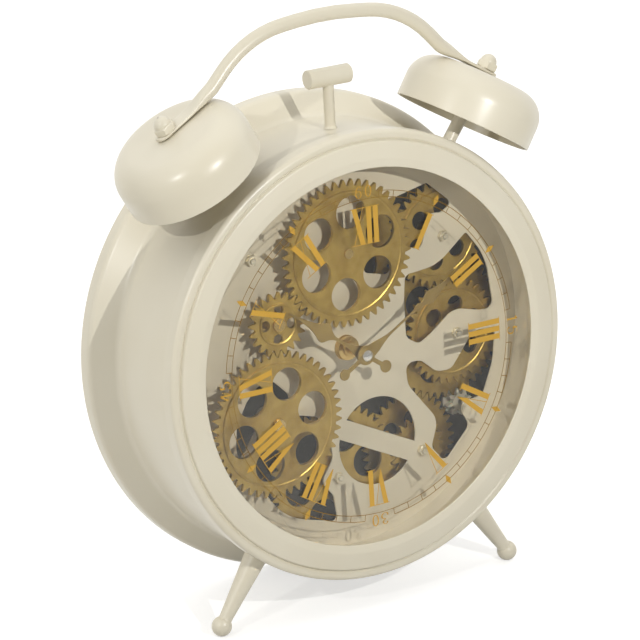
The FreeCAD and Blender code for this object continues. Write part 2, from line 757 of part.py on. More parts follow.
def make_rear_plate():
    """Black plate behind the gears, which carries the movement and the motor."""
    disc = rod("rear_disc", mm.plate_radius, mm.plate_front, mm.plate_thick)
    holes = [rod("rear_pin_hole", thread_hole, mm.plate_front, mm.plate_thick, x, z) for x, z in pin_centres]
    holes.append(rod("rear_bush_hole", mm.hub_radius, mm.plate_front, mm.plate_thick, *TOP_ARBOR))
    holes.append(rod("movement_hole", mm.bush_radius + mm.fit_gap, mm.plate_front, mm.plate_thick))
    holes.append(rod("boss_hole", mm.boss_radius + mm.fit_gap, mm.plate_front, mm.plate_thick, *pinion_centre))
    for x, z in ear_screws:
        holes.append(rod("ear_screw_hole", screw_hole, mm.plate_front, mm.plate_thick, x, z))
    keep("rear_plate", cut("rear_plate", disc, holes))


# Studs, pins and bushes


def make_pins():
    """Gear pins riveted in the rear plate and screwed through the dial, with a nut each."""
    nut_front = mm.dial_front - mm.dial_nut
    thread_front = nut_front - mm.thread_end
    pin = revolved("gear_pin", [
        (0.0, thread_front), (mm.thread_radius, thread_front), (mm.thread_radius, dial_back),
        (mm.pin_radius, dial_back), (mm.pin_radius, mm.plate_front), (mm.thread_radius, mm.plate_front),
        (mm.thread_radius, plate_back), (0.0, plate_back)])
    doc.recompute()
    places = [facing(x, 0, z) for x, z in pin_centres]
    keep("gear_pins", group("gear_pins", pin.Shape, places))
    nut = hex_nut(mm.small_nut_flats, mm.dial_nut, thread_hole)
    places = [facing(x, nut_front, z, 20 * turn) for turn, (x, z) in enumerate(pin_centres)]
    keep("dial_nuts", group("dial_nuts", nut, places))


def make_front_studs():
    """Headed studs riveted in the dial, on which the two front gears turn."""
    head_back = mm.front_gears - mm.end_gap
    head_front = head_back - mm.stud_head
    foot_front = mm.dial_front - mm.stud_foot
    for name, (x, z) in (("small_gear_stud", small_centre), ("low_gear_stud", low_centre)):
        keep(name, revolved(name, [
            (0.0, head_front), (mm.stud_head_radius, head_front, 0.6), (mm.stud_head_radius, head_back),
            (mm.pin_radius, head_back), (mm.pin_radius, foot_front), (mm.stud_foot_radius, foot_front),
            (mm.stud_foot_radius, mm.dial_front), (mm.thread_radius, mm.dial_front),
            (mm.thread_radius, dial_back), (0.0, dial_back)]),
            facing(x, 0, z))


def make_bushes():
    """Brass bushes of the top arbor, in the dial and in the rear plate."""
    sleeve = mm.hub_radius - mm.run_gap
    for name, front, back in (("dial_bush", mm.dial_front, dial_back), ("rear_bush", mm.plate_front, plate_back)):
        lip_front = front - mm.bush_lip
        keep(name, revolved(name, [
            (arbor_bore, lip_front), (mm.bush_lip_radius, lip_front), (mm.bush_lip_radius, front),
            (sleeve, front), (sleeve, back), (arbor_bore, back)]), facing(TOP_ARBOR[0], 0, TOP_ARBOR[1]))


# Gear train


def place_gear(name, shape, centre, front):
    keep(name, feature(name, shape), facing(centre[0], front, centre[1]))


def make_top_gear():
    """Front gear, arbor and rear gear that turn as one in the two bushes."""
    front = mm.front_gears + mm.gear_step
    bore = float(mm.arbor_radius)
    hub_back = float(mm.dial_front - mm.bush_lip - mm.end_gap - front)
    place_gear("top_gear", gear(BIG_TEETH, TOP_TOOTH_ANGLE, bore, 7, 0.0, hub_back), TOP_ARBOR, front)
    arbor_front = mm.front_gears - mm.arbor_proud
    arbor = rod("top_arbor", mm.arbor_radius - 0.01, arbor_front, plate_back - arbor_front, *TOP_ARBOR)
    keep("top_arbor", arbor)
    rear_front = float(mm.near_gears)
    low = float(dial_back + mm.end_gap) - rear_front
    high = float(mm.plate_front - mm.bush_lip - mm.end_gap) - rear_front
    shape = gear(BIG_TEETH, TOP_TOOTH_ANGLE, bore, 7, low, high, raised_disc=False)
    place_gear("top_rear_gear", shape, TOP_ARBOR, rear_front)


def make_front_gears():
    """The small gear and the low gear, each turning on a stud in front of the dial."""
    front = mm.front_gears + mm.gear_step
    bore = float(pin_bore)
    hub_back = float(mm.dial_front - mm.stud_foot - mm.end_gap - front)
    place_gear("small_gear", gear(LITTLE_TEETH, small_tooth, bore, 4, 0.0, hub_back), small_centre, front)
    place_gear("low_gear", gear(BIG_TEETH, low_tooth, bore, 17, 0.0, hub_back), low_centre, front)


def make_rear_gears():
    """Gears between dial and rear plate, each turning on a pin, some of them in pairs on one hub."""
    near, far = float(mm.near_gears), float(mm.far_gears)
    low, high = float(dial_back + mm.end_gap), float(mm.plate_front - mm.end_gap)
    middle = (near + far + float(mm.gear_thick)) / 2
    for name, teeth, tooth, window_angle, front, back_to, centre, raised_disc in (
            ("upper_right_gear", MIDDLE_TEETH, upper_tooth, 10, low, high, upper_centre, True),
            ("right_near_gear", MIDDLE_TEETH, right_near_tooth, 10, low, middle, right_centre, True),
            ("right_far_gear", BIG_TEETH, right_far_tooth, 20, middle, high, right_centre, False),
            ("lower_right_near_gear", LITTLE_TEETH, lower_right_near_tooth, 20, low, middle,
             lower_right_centre, False),
            ("lower_right_far_gear", MIDDLE_TEETH, lower_right_far_tooth, 10, middle, high,
             lower_right_centre, False),
            ("lower_gear", BIG_TEETH, lower_tooth, 20, low, high, lower_centre, False)):
        depth = far if front == middle else near
        shape = gear(teeth, tooth, float(pin_bore), window_angle, front - depth, back_to - depth, raised_disc)
        place_gear(name, shape, centre, depth)


def cheese_screw(name, tip, head_front):
    """A small round-headed screw driven in from the back."""
    head_back = head_front + mm.screw_head_thick
    screw = revolved(name, [
        (0.0, tip), (mm.small_screw, tip), (mm.small_screw, head_front), (mm.screw_head, head_front),
        (mm.screw_head, head_back, 0.6), (0.0, head_back)])
    doc.recompute()
    return screw


def make_motor():
    """Gear motor behind the rear plate, with a white boss, two screws and ears along the drum's wall."""
    x, z = pinion_centre
    boss_front = mm.plate_front - mm.boss_proud
    body = rod("motor_body", mm.motor_radius, plate_back, mm.motor_back - plate_back, x, z)
    boss = rod("boss", mm.boss_radius, boss_front, plate_back - boss_front, x, z)
    ears = block("motor_ears", (mm.motor_radius + mm.ear_reach) * 2, mm.ear_thick, mm.screw_head * 3, 0,
                 plate_back, 0)
    ears.Placement = facing(x, 0, z, motor_turn) * ears.Placement
    bore = rod("boss_bore", mm.shaft_radius + mm.run_gap, boss_front, shaft_back + mm.end_gap - boss_front, x, z)
    holes = [rod("ear_hole", screw_hole, plate_back, mm.ear_thick, hole_x, hole_z)
             for hole_x, hole_z in ear_screws]
    keep("gear_motor", cut("gear_motor", fused("motor_solid", [body, boss, ears]), [bore] + holes))
    screw = cheese_screw("motor_screw", mm.plate_front, plate_back + mm.ear_thick)
    places = [facing(hole_x, 0, hole_z) for hole_x, hole_z in ear_screws]
    keep("motor_screws", group("motor_screws", screw.Shape, places))


def make_pinion():
    """White nylon pinion on the motor's shaft."""
    front = mm.far_gears - (mm.pinion_wide - mm.gear_thick) / 2
    face = toothed_face(PINION_TEETH, pinion_tooth, float(mm.shaft_radius))
    place_gear("motor_pinion", face.extrude(Vector(0, float(mm.pinion_wide), 0)), pinion_centre, front)
    keep("motor_shaft", rod("motor_shaft", mm.shaft_radius - 0.01, front, shaft_back - front, *pinion_centre))


# Movement and hands


def make_movement():
    """Clock movement behind the rear plate: a case with a cell pocket, a threaded bush and its nut."""
    side = mm.movement_side
    depth = mm.movement_back - plate_back
    half = side / 2
    case = doc.addObject("PartDesign::Body", "movement_body")
    corner = mm.movement_corner
    padded(case, "movement", [(-half, -half, corner), (half, -half, corner), (half, half, corner),
                              (-half, half, corner)], plate_back, depth)
    bush_front = mm.plate_front - mm.bush_proud
    bush = rod("movement_bush", mm.bush_radius, bush_front, plate_back - bush_front)
    pocket_front = mm.movement_back - cells_high
    pocket = block("cell_pocket", mm.cell_length + mm.box_end_room, mm.movement_back - pocket_front,
                   cells_high, 0, pocket_front, CELL_Z)
    bore = rod("tube_bore", mm.tube_radius + mm.run_gap, bush_front, tube_back + mm.end_gap - bush_front)
    deep_bore = rod("shaft_bore", mm.shaft_radius + mm.run_gap, bush_front, pivot_back + mm.end_gap - bush_front)
    knob_bore = rod("knob_bore", mm.shaft_radius + mm.run_gap, mm.movement_back - mm.pivot_depth,
                    mm.pivot_depth, *KNOB)
    keep("movement_case", cut("movement_case", fused("movement_solid", [case, bush]),
                              [pocket, bore, deep_bore, knob_bore]))
    cell = doc.addObject("Part::Cylinder", "movement_cell")
    give(cell, "Radius", mm.cell_radius)
    give(cell, "Height", mm.cell_length)
    depth = float(mm.movement_back - mm.cell_radius - mm.end_gap)
    lying = Rotation(Vector(0, 1, 0), 90)
    keep("movement_cell", cell, Placement(Vector(-float(mm.cell_length) / 2, depth, CELL_Z), lying))
    nut = hex_nut(mm.movement_nut_flats, mm.movement_nut, mm.bush_radius + mm.run_gap)
    nut_place = facing(0, mm.plate_front - mm.movement_nut, 0, 10)
    keep("movement_nut", group("movement_nut", nut, [nut_place]))


def make_setting_knob():
    """Fluted knob on the back of the movement that sets the hands."""
    ring = []
    for turn in range(KNOB_FLUTES * 2):
        radius = mm.knob_radius if turn % 2 else mm.knob_radius - mm.flute_depth
        x, z = at_clock((0, 0), turn * 180 / KNOB_FLUTES, float(radius))
        ring.append(Vector(x, 0, z))
    grip = Part.Face(Part.makePolygon(ring + ring[:1])).extrude(Vector(0, float(mm.knob_height), 0))
    sunk = float(mm.pivot_depth - mm.end_gap)
    stem = Part.makeCylinder(float(mm.shaft_radius), sunk + 0.3, Vector(0, -sunk, 0), Vector(0, 1, 0))
    keep("setting_knob", feature("setting_knob", grip.fuse(stem)),
         facing(KNOB[0], mm.movement_back + mm.end_gap, KNOB[1]))


def make_collar():
    """Brass collar on the dial round the hand tube."""
    bore = mm.tube_radius + mm.run_gap
    front = mm.dial_front - mm.collar_height
    keep("hand_collar", revolved("hand_collar", [
        (bore, front), (mm.collar_radius - 1.6, front, 0.5), (mm.collar_radius - 1.2, mm.dial_front - 1.4, 0.5),
        (mm.collar_radius, mm.dial_front - 1.2, 0.3), (mm.collar_radius, mm.dial_front),
        (bore, mm.dial_front)]))


def blade(reach, width, bumps):
    """Half outline of a hand from its bumps (share of the reach, share of the width, rounding), mirrored."""
    right = [(width * wide, reach * along, rounding) for along, wide, rounding in bumps]
    left = [(-x, z, rounding) for x, z, rounding in reversed(right)]
    return right + left


def make_hand(name, length, front, bore, bumps, width, turn):
    """A leaf hand with a boss and a tail disc, drawn upright and then turned to the time."""
    body = doc.addObject("PartDesign::Body", name + "_blade")
    padded(body, name, blade(length, width, bumps), front, mm.hand_thick)
    boss = rod(name + "_boss", bore + mm.hand_boss, front, mm.hand_thick)
    tail = rod(name + "_tail", mm.tail_disc_radius, front, mm.hand_thick)
    tail.setExpression("Placement.Base.z", (-mm.hand_tail).formula)
    hole = rod(name + "_bore", bore, front, mm.hand_thick)
    piece = cut(name, fused(name + "_solid", [body, boss, tail]), [hole])
    keep(name, piece, facing(0, 0, 0, turn))


def make_hands():
    """Hour tube, minute shaft, both hands and the domed cap."""
    make_hand("hour_hand", mm.hour_length, mm.hour_front, mm.tube_radius, HOUR_LEAF, mm.leaf_half_width,
              HOUR_ANGLE)
    make_hand("minute_hand", mm.minute_length, mm.minute_front, mm.shaft_radius, MINUTE_LEAF,
              mm.leaf_half_width, MINUTE_ANGLE)
    tube_front = mm.hour_front - mm.end_gap
    tube = rod("hour_tube_outer", mm.tube_radius - 0.01, tube_front, tube_back - tube_front)
    hollow = rod("hour_tube_bore", mm.shaft_radius + mm.run_gap, tube_front, tube_back - tube_front)
    keep("hour_tube", cut("hour_tube", tube, [hollow]))
    shaft_front = mm.minute_front - 0.4
    keep("minute_shaft", rod("minute_shaft", mm.shaft_radius - 0.01, shaft_front, pivot_back - shaft_front))
    cap_front = mm.minute_front - mm.cap_height
    keep("hand_cap", revolved("hand_cap", [
        (0.0, cap_front), (mm.cap_radius, cap_front, 2.4), (mm.cap_radius, mm.minute_front),
        (mm.shaft_radius, mm.minute_front), (mm.shaft_radius, shaft_front), (0.0, shaft_front)]))


# Back cover, battery box and switch


def make_back_cover():
    """Rear disc inside the flange, open for the movement, the battery box and the switch."""
    disc = rod("cover_disc", drum_inner - mm.end_gap, mm.cover_front, mm.cover_thick)
    gap = mm.end_gap * 2
    holes = [
        block("movement_opening", mm.movement_side + gap, mm.cover_thick, mm.movement_side + gap, 0,
              mm.cover_front, 0),
        block("box_opening", box_width + gap, mm.cover_thick, box_height + gap, 0, mm.cover_front,
              mm.box_centre_z),
        block("switch_slot", mm.slider_width + mm.switch_travel + gap, mm.cover_thick,
              mm.slider_height + gap, mm.switch_travel / 2 + SWITCH[0], mm.cover_front, SWITCH[1]),
    ]
    for x, z in cover_screws:
        holes.append(rod("cover_screw_hole", mm.small_screw + mm.end_gap, mm.cover_front, mm.cover_thick, x, z))
    keep("back_cover", cut("back_cover", disc, holes))


def make_cover_fixings():
    """Four brackets on the drum's wall and the screws that hold the cover to them."""
    thick = mm.bracket_thick
    inner = mm.cover_screw_circle - mm.bracket_margin * 2
    outer = mm.drum_radius
    plate = block("bracket_plate", (mm.screw_head + mm.bracket_margin) * 2, thick, outer - inner, 0,
                  mm.cover_front - thick, (inner + outer) / 2)
    wall = rod("bracket_limit", drum_inner - mm.run_gap, mm.cover_front - thick, thick)
    bracket = doc.addObject("Part::Common", "bracket_in_drum")
    bracket.Base = plate
    bracket.Tool = wall
    hole = rod("bracket_hole", screw_hole, mm.cover_front - thick, thick, 0, mm.cover_screw_circle)
    bracket = cut("bracket", bracket, [hole])
    screw = cheese_screw("cover_screw", mm.cover_front - thick, cover_back)
    doc.recompute()
    turns = [facing(0, 0, 0, angle) for angle in COVER_SCREW_ANGLES]
    keep("cover_brackets", group("cover_brackets", bracket.Shape, turns))
    places = [facing(x, 0, z) for x, z in cover_screws]
    keep("cover_screws", group("cover_screws", screw.Shape, places))


def make_battery_box():
    """Box for the motor's two cells, with a flange on the back cover."""
    wall = mm.box_wall
    shell = block("box_shell", box_width, box_back - mm.box_front, box_height, 0, mm.box_front, mm.box_centre_z)
    flange = block("box_flange", box_width + mm.flange_wide * 2, mm.flange_thick,
                   box_height + mm.flange_wide * 2, 0, cover_back, mm.box_centre_z)
    inside = block("box_inside", box_width - wall * 2, box_back - mm.box_front - wall,
                   box_height - wall * 2, 0, mm.box_front + wall, mm.box_centre_z)
    keep("battery_box", cut("battery_box", fused("box_solid", [shell, flange]), [inside]))
    depth = float(mm.box_front + wall + mm.cell_radius + mm.end_gap)
    half_cell = float(mm.cell_length) / 2
    shape = Part.makeCylinder(float(mm.cell_radius), half_cell * 2, Vector(0, 0, 0), Vector(1, 0, 0))
    thick, side = float(mm.contact_thick), float(mm.contact_side)
    reach = float(box_width / 2 - wall)
    contact = Part.makeBox(thick, side, side, Vector(0, -side / 2, -side / 2))
    bump = Part.makeCylinder(float(mm.contact_bump), reach - thick - half_cell, Vector(thick, 0, 0),
                             Vector(1, 0, 0))
    contact = contact.fuse(bump)
    cells = []
    places = []
    for row in (-1, 1):
        z = float(mm.box_centre_z + (mm.cell_radius + mm.seat_gap) * row)
        cells.append(Placement(Vector(-half_cell, depth, z), Rotation()))
        for end, x in ((0, -reach), (180, reach)):
            places.append(Placement(Vector(x, depth, z), Rotation(Vector(0, 1, 0), end)))
    keep("motor_cells", group("motor_cells", shape, cells))
    keep("battery_contacts", group("battery_contacts", contact, places))


def make_battery_door():
    """Door that slides along the box on two lips."""
    front = box_back + mm.end_gap
    plate = block("door_plate", box_width, mm.door_thick, box_height + mm.end_gap * 2 + mm.door_thick * 2,
                  0, front, mm.box_centre_z)
    lip_front = cover_back + mm.flange_thick + mm.end_gap
    lips = []
    for side in (-1, 1):
        z = mm.box_centre_z + (box_height / 2 + mm.end_gap + mm.door_thick / 2) * side
        lips.append(block("door_lip", box_width, front - lip_front, mm.door_thick, 0, lip_front, z))
    ribs = [block("door_rib", mm.rib_width, mm.rib_proud, mm.rib_height, x, front + mm.door_thick,
                  mm.box_centre_z) for x in RIB_PLACES]
    keep("battery_door", fused("battery_door", [plate] + lips + ribs))


def make_switch():
    """Slide switch of the gear motor: a housing inside the cover and a slider through it."""
    travel = mm.switch_travel
    middle = travel / 2 + SWITCH[0]
    gap = mm.end_gap * 2
    depth = mm.switch_depth
    slot_depth = depth / 2
    case = block("switch_case", mm.slider_width + travel * 3, depth, mm.slider_height + travel, middle,
                 mm.cover_front - depth, SWITCH[1])
    slot = block("case_slot", mm.slider_width + travel + gap, slot_depth, mm.slider_height + gap, middle,
                 mm.cover_front - slot_depth, SWITCH[1])
    keep("switch_housing", cut("switch_housing", case, [slot]))
    slider_front = mm.cover_front - slot_depth + mm.end_gap
    keep("switch_slider", block("switch_slider", mm.slider_width, cover_back + mm.slider_proud - slider_front,
                                mm.slider_height, SWITCH[0], slider_front, SWITCH[1]))


# Bells, posts and handle


def make_bells():
    """Two cup-shaped bells with a rounded shoulder and a slightly domed crown."""
    wall = mm.bell_wall
    hole = mm.stud_radius + mm.run_gap
    shoulder = mm.bell_height - mm.crown_drop
    for label, side in (("bell_left", -1), ("bell_right", 1)):
        cup = revolved(label, [
            (mm.bell_radius, 0.0), (mm.bell_radius, shoulder, mm.bell_shoulder),
            (mm.crown_radius, mm.bell_height), (hole, mm.bell_height), (hole, mm.bell_height - wall),
            (mm.crown_radius, mm.bell_height - wall),
            (mm.bell_radius - wall, shoulder - wall, mm.bell_shoulder - wall),
            (mm.bell_radius - wall, 0.0)])
        keep(label, cup, bell_place(side))


def crown_place(side):
    """Place on a bell's crown: X inward along the slope, Y up the nut's axis, Z across the clock."""
    tilt = math.radians(BELL_TILT_ANGLE)
    inward = Vector(-side * math.cos(tilt), 0, math.sin(tilt))
    upward = Vector(side * math.sin(tilt), 0, math.cos(tilt))
    base = Vector(side * crown.x, crown.y, crown.z)
    return Placement(base, Rotation(inward, upward, inward.cross(upward), "XYZ"))


def make_posts():
    """Posts from the drum to the bells: a radial column with a thread that stands square to the crown."""
    low = float(mm.bell_wall + mm.stud_radius)
    for label, side in (("bell_post_left", -1), ("bell_post_right", 1)):
        turn = Rotation(Vector(0, 1, 0), side * post_angle)
        outward = turn.multVec(Vector(0, 0, 1))
        foot = outward * float(mm.drum_radius + mm.seat_gap)
        foot.y = post_y
        reach = crown_place(side).Base - foot
        column = Part.makeCylinder(float(mm.post_radius), reach.Length + low, foot, outward)
        sunk = outward * float(mm.drum_wall + mm.seat_gap)
        spigot = Part.makeCylinder(float(mm.spigot_radius), sunk.Length + 0.1, foot - sunk, outward)
        size = float(mm.bell_radius)
        above = Part.makeBox(size, size, size, Vector(-size / 2, float(mm.bell_height - mm.bell_wall) - 0.05,
                                                      -size / 2))
        above.Placement = bell_place(side)
        thread = Part.makeCylinder(float(mm.stud_radius), low + float(thread_top), Vector(0, -low, 0),
                                   Vector(0, 1, 0))
        thread.Placement = crown_place(side)
        keep(label, feature(label, column.cut(above).fuse([spigot, thread]).removeSplitter()))


def make_acorn_nuts():
    """Domed hexagon nuts over the handle's tongues."""
    height = float(mm.acorn_height)
    dome = Part.makeSphere(float(mm.acorn_dome_radius), Vector(0, height, 0))
    bore = Part.makeCylinder(float(mm.stud_radius + mm.run_gap), height, Vector(0, 0, 0), Vector(0, 1, 0))
    nut = hexagon(mm.acorn_flats, height).fuse(dome).cut(bore)
    for label, side in (("acorn_nut_left", -1), ("acorn_nut_right", 1)):
        seat = Placement(Vector(0, float(mm.tongue_lift + mm.tongue_thick), 0), Rotation())
        keep(label, feature(label, nut), crown_place(side).multiply(seat))


def rounded_path(corners):
    """Wire of lines and tangent arcs through corners (point, rounding)."""
    points = [point for point, rounding in corners]
    edges = []
    last = points[0]
    for i in range(1, len(points) - 1):
        behind = (points[i - 1] - points[i]).normalize()
        ahead = (points[i + 1] - points[i]).normalize()
        half = behind.getAngle(ahead) / 2
        radius = corners[i][1]
        first = points[i] + behind * (radius / math.tan(half))
        final = points[i] + ahead * (radius / math.tan(half))
        middle = points[i] + (behind + ahead).normalize() * (radius / math.sin(half) - radius)
        edges.append(Part.LineSegment(last, first).toShape())
        edges.append(Part.Arc(first, middle, final).toShape())
        last = final
    edges.append(Part.LineSegment(last, points[-1]).toShape())
    return Part.Wire(edges)


def tongue(side):
    """A flattened end of the handle: a drilled plate with a round tip, and its taper up to the tube."""
    thick, half = float(mm.tongue_thick), float(mm.tongue_width) / 2
    low = float(mm.tongue_lift)
    length = float(mm.tongue_length)
    tip_centre = half - float(mm.tongue_tip)
    plate = Part.makeBox(length - tip_centre, thick, half * 2, Vector(tip_centre, low, -half))
    tip = Part.makeCylinder(half, thick, Vector(tip_centre, low, 0), Vector(0, 1, 0))
    hole = Part.makeCylinder(float(mm.stud_radius + mm.run_gap), thick + 1, Vector(0, 0, 0), Vector(0, 1, 0))
    across = Rotation(Vector(0, 0, 1), Vector(0, 1, 0), Vector(-1, 0, 0), "ZXY")
    flat = Part.Ellipse(Vector(0, 0, 0), half, thick / 2).toShape()
    flat.Placement = Placement(Vector(length - 1, low + thick / 2, 0), across)
    round_end = Part.makeCircle(float(mm.tube_handle_radius), Vector(0, 0, 0), Vector(0, 0, 1))
    round_end.Placement = Placement(tube_end, across)
    taper = Part.makeLoft([Part.Wire([flat]), Part.Wire([round_end])], True, True)
    shape = plate.fuse([tip, taper]).cut(hole)
    shape.Placement = crown_place(side)
    return shape


def make_handle():
    """Bent tube over the drum, its ends flattened into tongues under the acorn nuts."""
    place = crown_place(1)
    start = place.multVec(tube_end)
    bend = place.multVec(tube_end + Vector(float(mm.end_run), 0, 0))
    knee = Vector(KNEE_SHARE * crown.x, start.y, float(mm.handle_top - mm.crest_rise))
    middle = Vector(0, start.y, float(mm.handle_top))

    def mirrored(point):
        return Vector(-point.x, point.y, point.z)

    end_bend, knee_bend = float(mm.end_bend), float(mm.knee_bend)
    path = rounded_path([
        (start, 0), (bend, end_bend), (knee, knee_bend), (middle, float(mm.crest_bend)),
        (mirrored(knee), knee_bend), (mirrored(bend), end_bend), (mirrored(start), 0)])
    section = Part.Wire([Part.makeCircle(float(mm.tube_handle_radius), start, bend - start)])
    tube = path.makePipeShell([section], True, False)
    keep("handle", feature("handle", tube.fuse([tongue(-1), tongue(1)]).removeSplitter()))


def make_hammer():
    """T-shaped hammer between the bells: a stem riveted in the drum and a round head across it."""
    foot = mm.drum_radius + mm.seat_gap
    stem_top = mm.hammer_z - mm.stem_sink
    stem = revolved("hammer_stem", [
        (0.0, drum_inner), (mm.spigot_radius, drum_inner),
        (mm.spigot_radius, foot), (mm.hammer_stem_radius, foot), (mm.hammer_stem_radius, stem_top),
        (0.0, stem_top)])
    upright = Placement(Vector(0, float(mm.hammer_y), 0), Rotation(Vector(1, 0, 0), 90))
    keep("hammer_stem", stem, upright)
    half = mm.hammer_half
    blank = revolved("hammer_blank", [
        (0.0, -half), (mm.hammer_head_radius, -half, 0.8), (mm.hammer_head_radius, half, 0.8), (0.0, half)])
    blank.Placement = Placement(Vector(0, float(mm.hammer_y), float(mm.hammer_z)),
                                Rotation(Vector(0, 0, 1), -90))
    bore = spoke("head_bore", mm.hammer_stem_radius + mm.run_gap, mm.hammer_z - mm.hammer_head_radius - 1,
                 stem_top + mm.run_gap, 0, mm.hammer_y)
    keep("hammer_head", cut("hammer_head", blank, [bore]))


# Legs


def make_legs():
    """Tapered legs with ball feet, ground flat where they stand, and their nuts inside the drum."""
    reach = mm.foot_reach
    seat = mm.drum_radius + mm.seat_gap
    screw_end = drum_inner - mm.leg_nut - mm.drum_wall
    neck = reach - math.sqrt(float(mm.foot_radius) ** 2 - float(mm.leg_neck_radius) ** 2)
    for label, side in (("leg_left", -1), ("leg_right", 1)):
        angle = 180 - side * LEG_ANGLE
        x, z = at_clock((0, 0), angle, 1.0)
        radial = Placement(Vector(0, float(mm.leg_y), 0), Rotation(Vector(0, 1, 0), Vector(x, 0, z)))
        taper = revolved(label + "_taper", [
            (0.0, screw_end), (mm.spigot_radius, screw_end), (mm.spigot_radius, seat),
            (mm.leg_top_radius, seat, 0.5), (mm.leg_neck_radius, neck), (0.0, neck + 1)])
        taper.Placement = radial
        ball = doc.addObject("Part::Sphere", label + "_ball")
        give(ball, "Radius", mm.foot_radius)
        foot = at_clock((0, 0), angle, float(reach))
        ball.Placement = facing(foot[0], mm.leg_y, foot[1])
        solid = fused(label + "_solid", [taper, ball])
        ground = doc.addObject("Part::Box", label + "_ground")
        size = float(mm.foot_radius) * 3
        ground.Length, ground.Width, ground.Height = size, size, size
        level = Placement(Vector(foot[0], float(mm.leg_y), foot[1]), Rotation(Vector(1, 0, 0), lean_angle))
        below = Placement(Vector(-size / 2, -size / 2, -size - foot_flat_drop), Rotation())
        ground.Placement = level.multiply(below)
        keep(label, cut(label, solid, [ground]))
    nut = hex_nut(mm.leg_nut_flats, mm.leg_nut, mm.spigot_radius + mm.run_gap)
    places = []
    inner = float(drum_inner - mm.fit_gap - mm.leg_nut)
    for side in (-1, 1):
        x, z = at_clock((0, 0), 180 - side * LEG_ANGLE, 1.0)
        places.append(Placement(Vector(x * inner, float(mm.leg_y), z * inner),
                                Rotation(Vector(0, 1, 0), Vector(x, 0, z))))
    keep("leg_nuts", group("leg_nuts", nut, places))


make_drum()
make_bezel()
make_crystal()
make_dial()
make_rear_plate()
make_pins()
make_front_studs()
make_bushes()
make_top_gear()
make_front_gears()
make_rear_gears()
make_motor()
make_pinion()
make_movement()
make_setting_knob()
make_collar()
make_hands()
make_back_cover()
make_cover_fixings()
make_battery_box()
make_battery_door()
make_switch()
make_bells()
make_posts()
make_acorn_nuts()
make_handle()
make_hammer()
make_legs()
doc.recompute()


def check_document():
    """Stops on any object that failed or any piece without a sound solid."""
    for thing in doc.Objects:
        states = [state for state in thing.State if state in ("Invalid", "Error")]
        if states:
            raise RuntimeError(f"{thing.Name} ({thing.Label}) is {states}")
    for label, thing in nodes.items():
        shape = thing.Shape
        if shape.isNull() or not shape.isValid() or not shape.Solids:
            raise RuntimeError(f"{label} has no sound solid")


check_document()

# The row frame: leaning, standing on z = 0, centred under the whole clock
tilt_back = Placement(Vector(0, 0, 0), Rotation(Vector(1, 0, 0), -lean_angle))
boxes = []
for thing in nodes.values():
    leaning = thing.Shape.copy()
    leaning.Placement = tilt_back.multiply(leaning.Placement)
    boxes.append(leaning.optimalBoundingBox(False))
front_edge = min(box.YMin for box in boxes)
back_edge = max(box.YMax for box in boxes)
floor = float(mm.flange_back) * math.sin(lean) + float(mm.flange_radius) * math.cos(lean)
stance = Placement(Vector(0, -(front_edge + back_edge) / 2, floor), tilt_back.Rotation)
for thing in nodes.values():
    thing.setExpression("Placement.Base.y", None)
    thing.Placement = stance.multiply(thing.Placement)
doc.recompute()
check_document()

os.makedirs("parts", exist_ok=True)
for label, thing in nodes.items():
    thing.Shape.exportStep(os.path.join("parts", label + ".step"))
print(f"{len(nodes)} pieces, lean {lean_angle:.3f} degrees, stance {stance.Base}")
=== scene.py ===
# %% [markdown]
# # A table clock with two bells and its gears in view
#
# The real clock is a drum of spun steel in cream enamel, with the hours printed in gold
# on a flat glass. Thirty millimetres behind it a cream plate with large openings
# carries the brass gears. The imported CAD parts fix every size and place; the cells
# below give each part its finished form and surface.

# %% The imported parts
import json
import math

import bmesh
import bpy
from mathutils import Matrix, Vector


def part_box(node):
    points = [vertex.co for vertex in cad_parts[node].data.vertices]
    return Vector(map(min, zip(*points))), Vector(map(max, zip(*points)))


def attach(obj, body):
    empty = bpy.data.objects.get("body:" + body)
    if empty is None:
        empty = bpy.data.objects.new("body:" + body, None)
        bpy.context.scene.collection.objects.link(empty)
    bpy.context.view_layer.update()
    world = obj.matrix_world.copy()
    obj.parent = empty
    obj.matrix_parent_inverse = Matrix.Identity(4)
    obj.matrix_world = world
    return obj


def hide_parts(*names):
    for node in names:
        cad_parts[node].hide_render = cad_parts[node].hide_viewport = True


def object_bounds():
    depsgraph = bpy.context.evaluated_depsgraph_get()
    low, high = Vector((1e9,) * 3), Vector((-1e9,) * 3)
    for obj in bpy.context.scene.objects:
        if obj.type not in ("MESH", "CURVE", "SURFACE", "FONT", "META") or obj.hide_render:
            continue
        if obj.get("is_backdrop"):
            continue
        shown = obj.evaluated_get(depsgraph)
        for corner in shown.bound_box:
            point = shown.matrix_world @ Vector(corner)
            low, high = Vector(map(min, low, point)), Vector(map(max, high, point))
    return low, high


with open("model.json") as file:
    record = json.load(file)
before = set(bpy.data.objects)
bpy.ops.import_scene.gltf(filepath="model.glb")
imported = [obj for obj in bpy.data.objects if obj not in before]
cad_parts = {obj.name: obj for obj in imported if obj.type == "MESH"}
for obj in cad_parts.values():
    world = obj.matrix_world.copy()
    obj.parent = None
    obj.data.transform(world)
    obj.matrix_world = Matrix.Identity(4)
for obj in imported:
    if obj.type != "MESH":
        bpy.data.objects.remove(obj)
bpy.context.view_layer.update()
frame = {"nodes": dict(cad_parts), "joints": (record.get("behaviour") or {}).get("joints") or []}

# %% [markdown]
# ## The clock's own upright
#
# The clock leans back on two ball feet and the rim of its drum, so nothing in it is
# level. Every piece is therefore drawn as if it stood straight, with X to its right, Y
# into it and Z up, and one matrix leans it. That matrix is read from the minute hand's
# joint, whose axis is the clock's own depth direction.

# %% The leaning matrix
MM = 0.001
MINUTE_FRONT = 6.6  # mm from the front of the glass to the minute hand's face

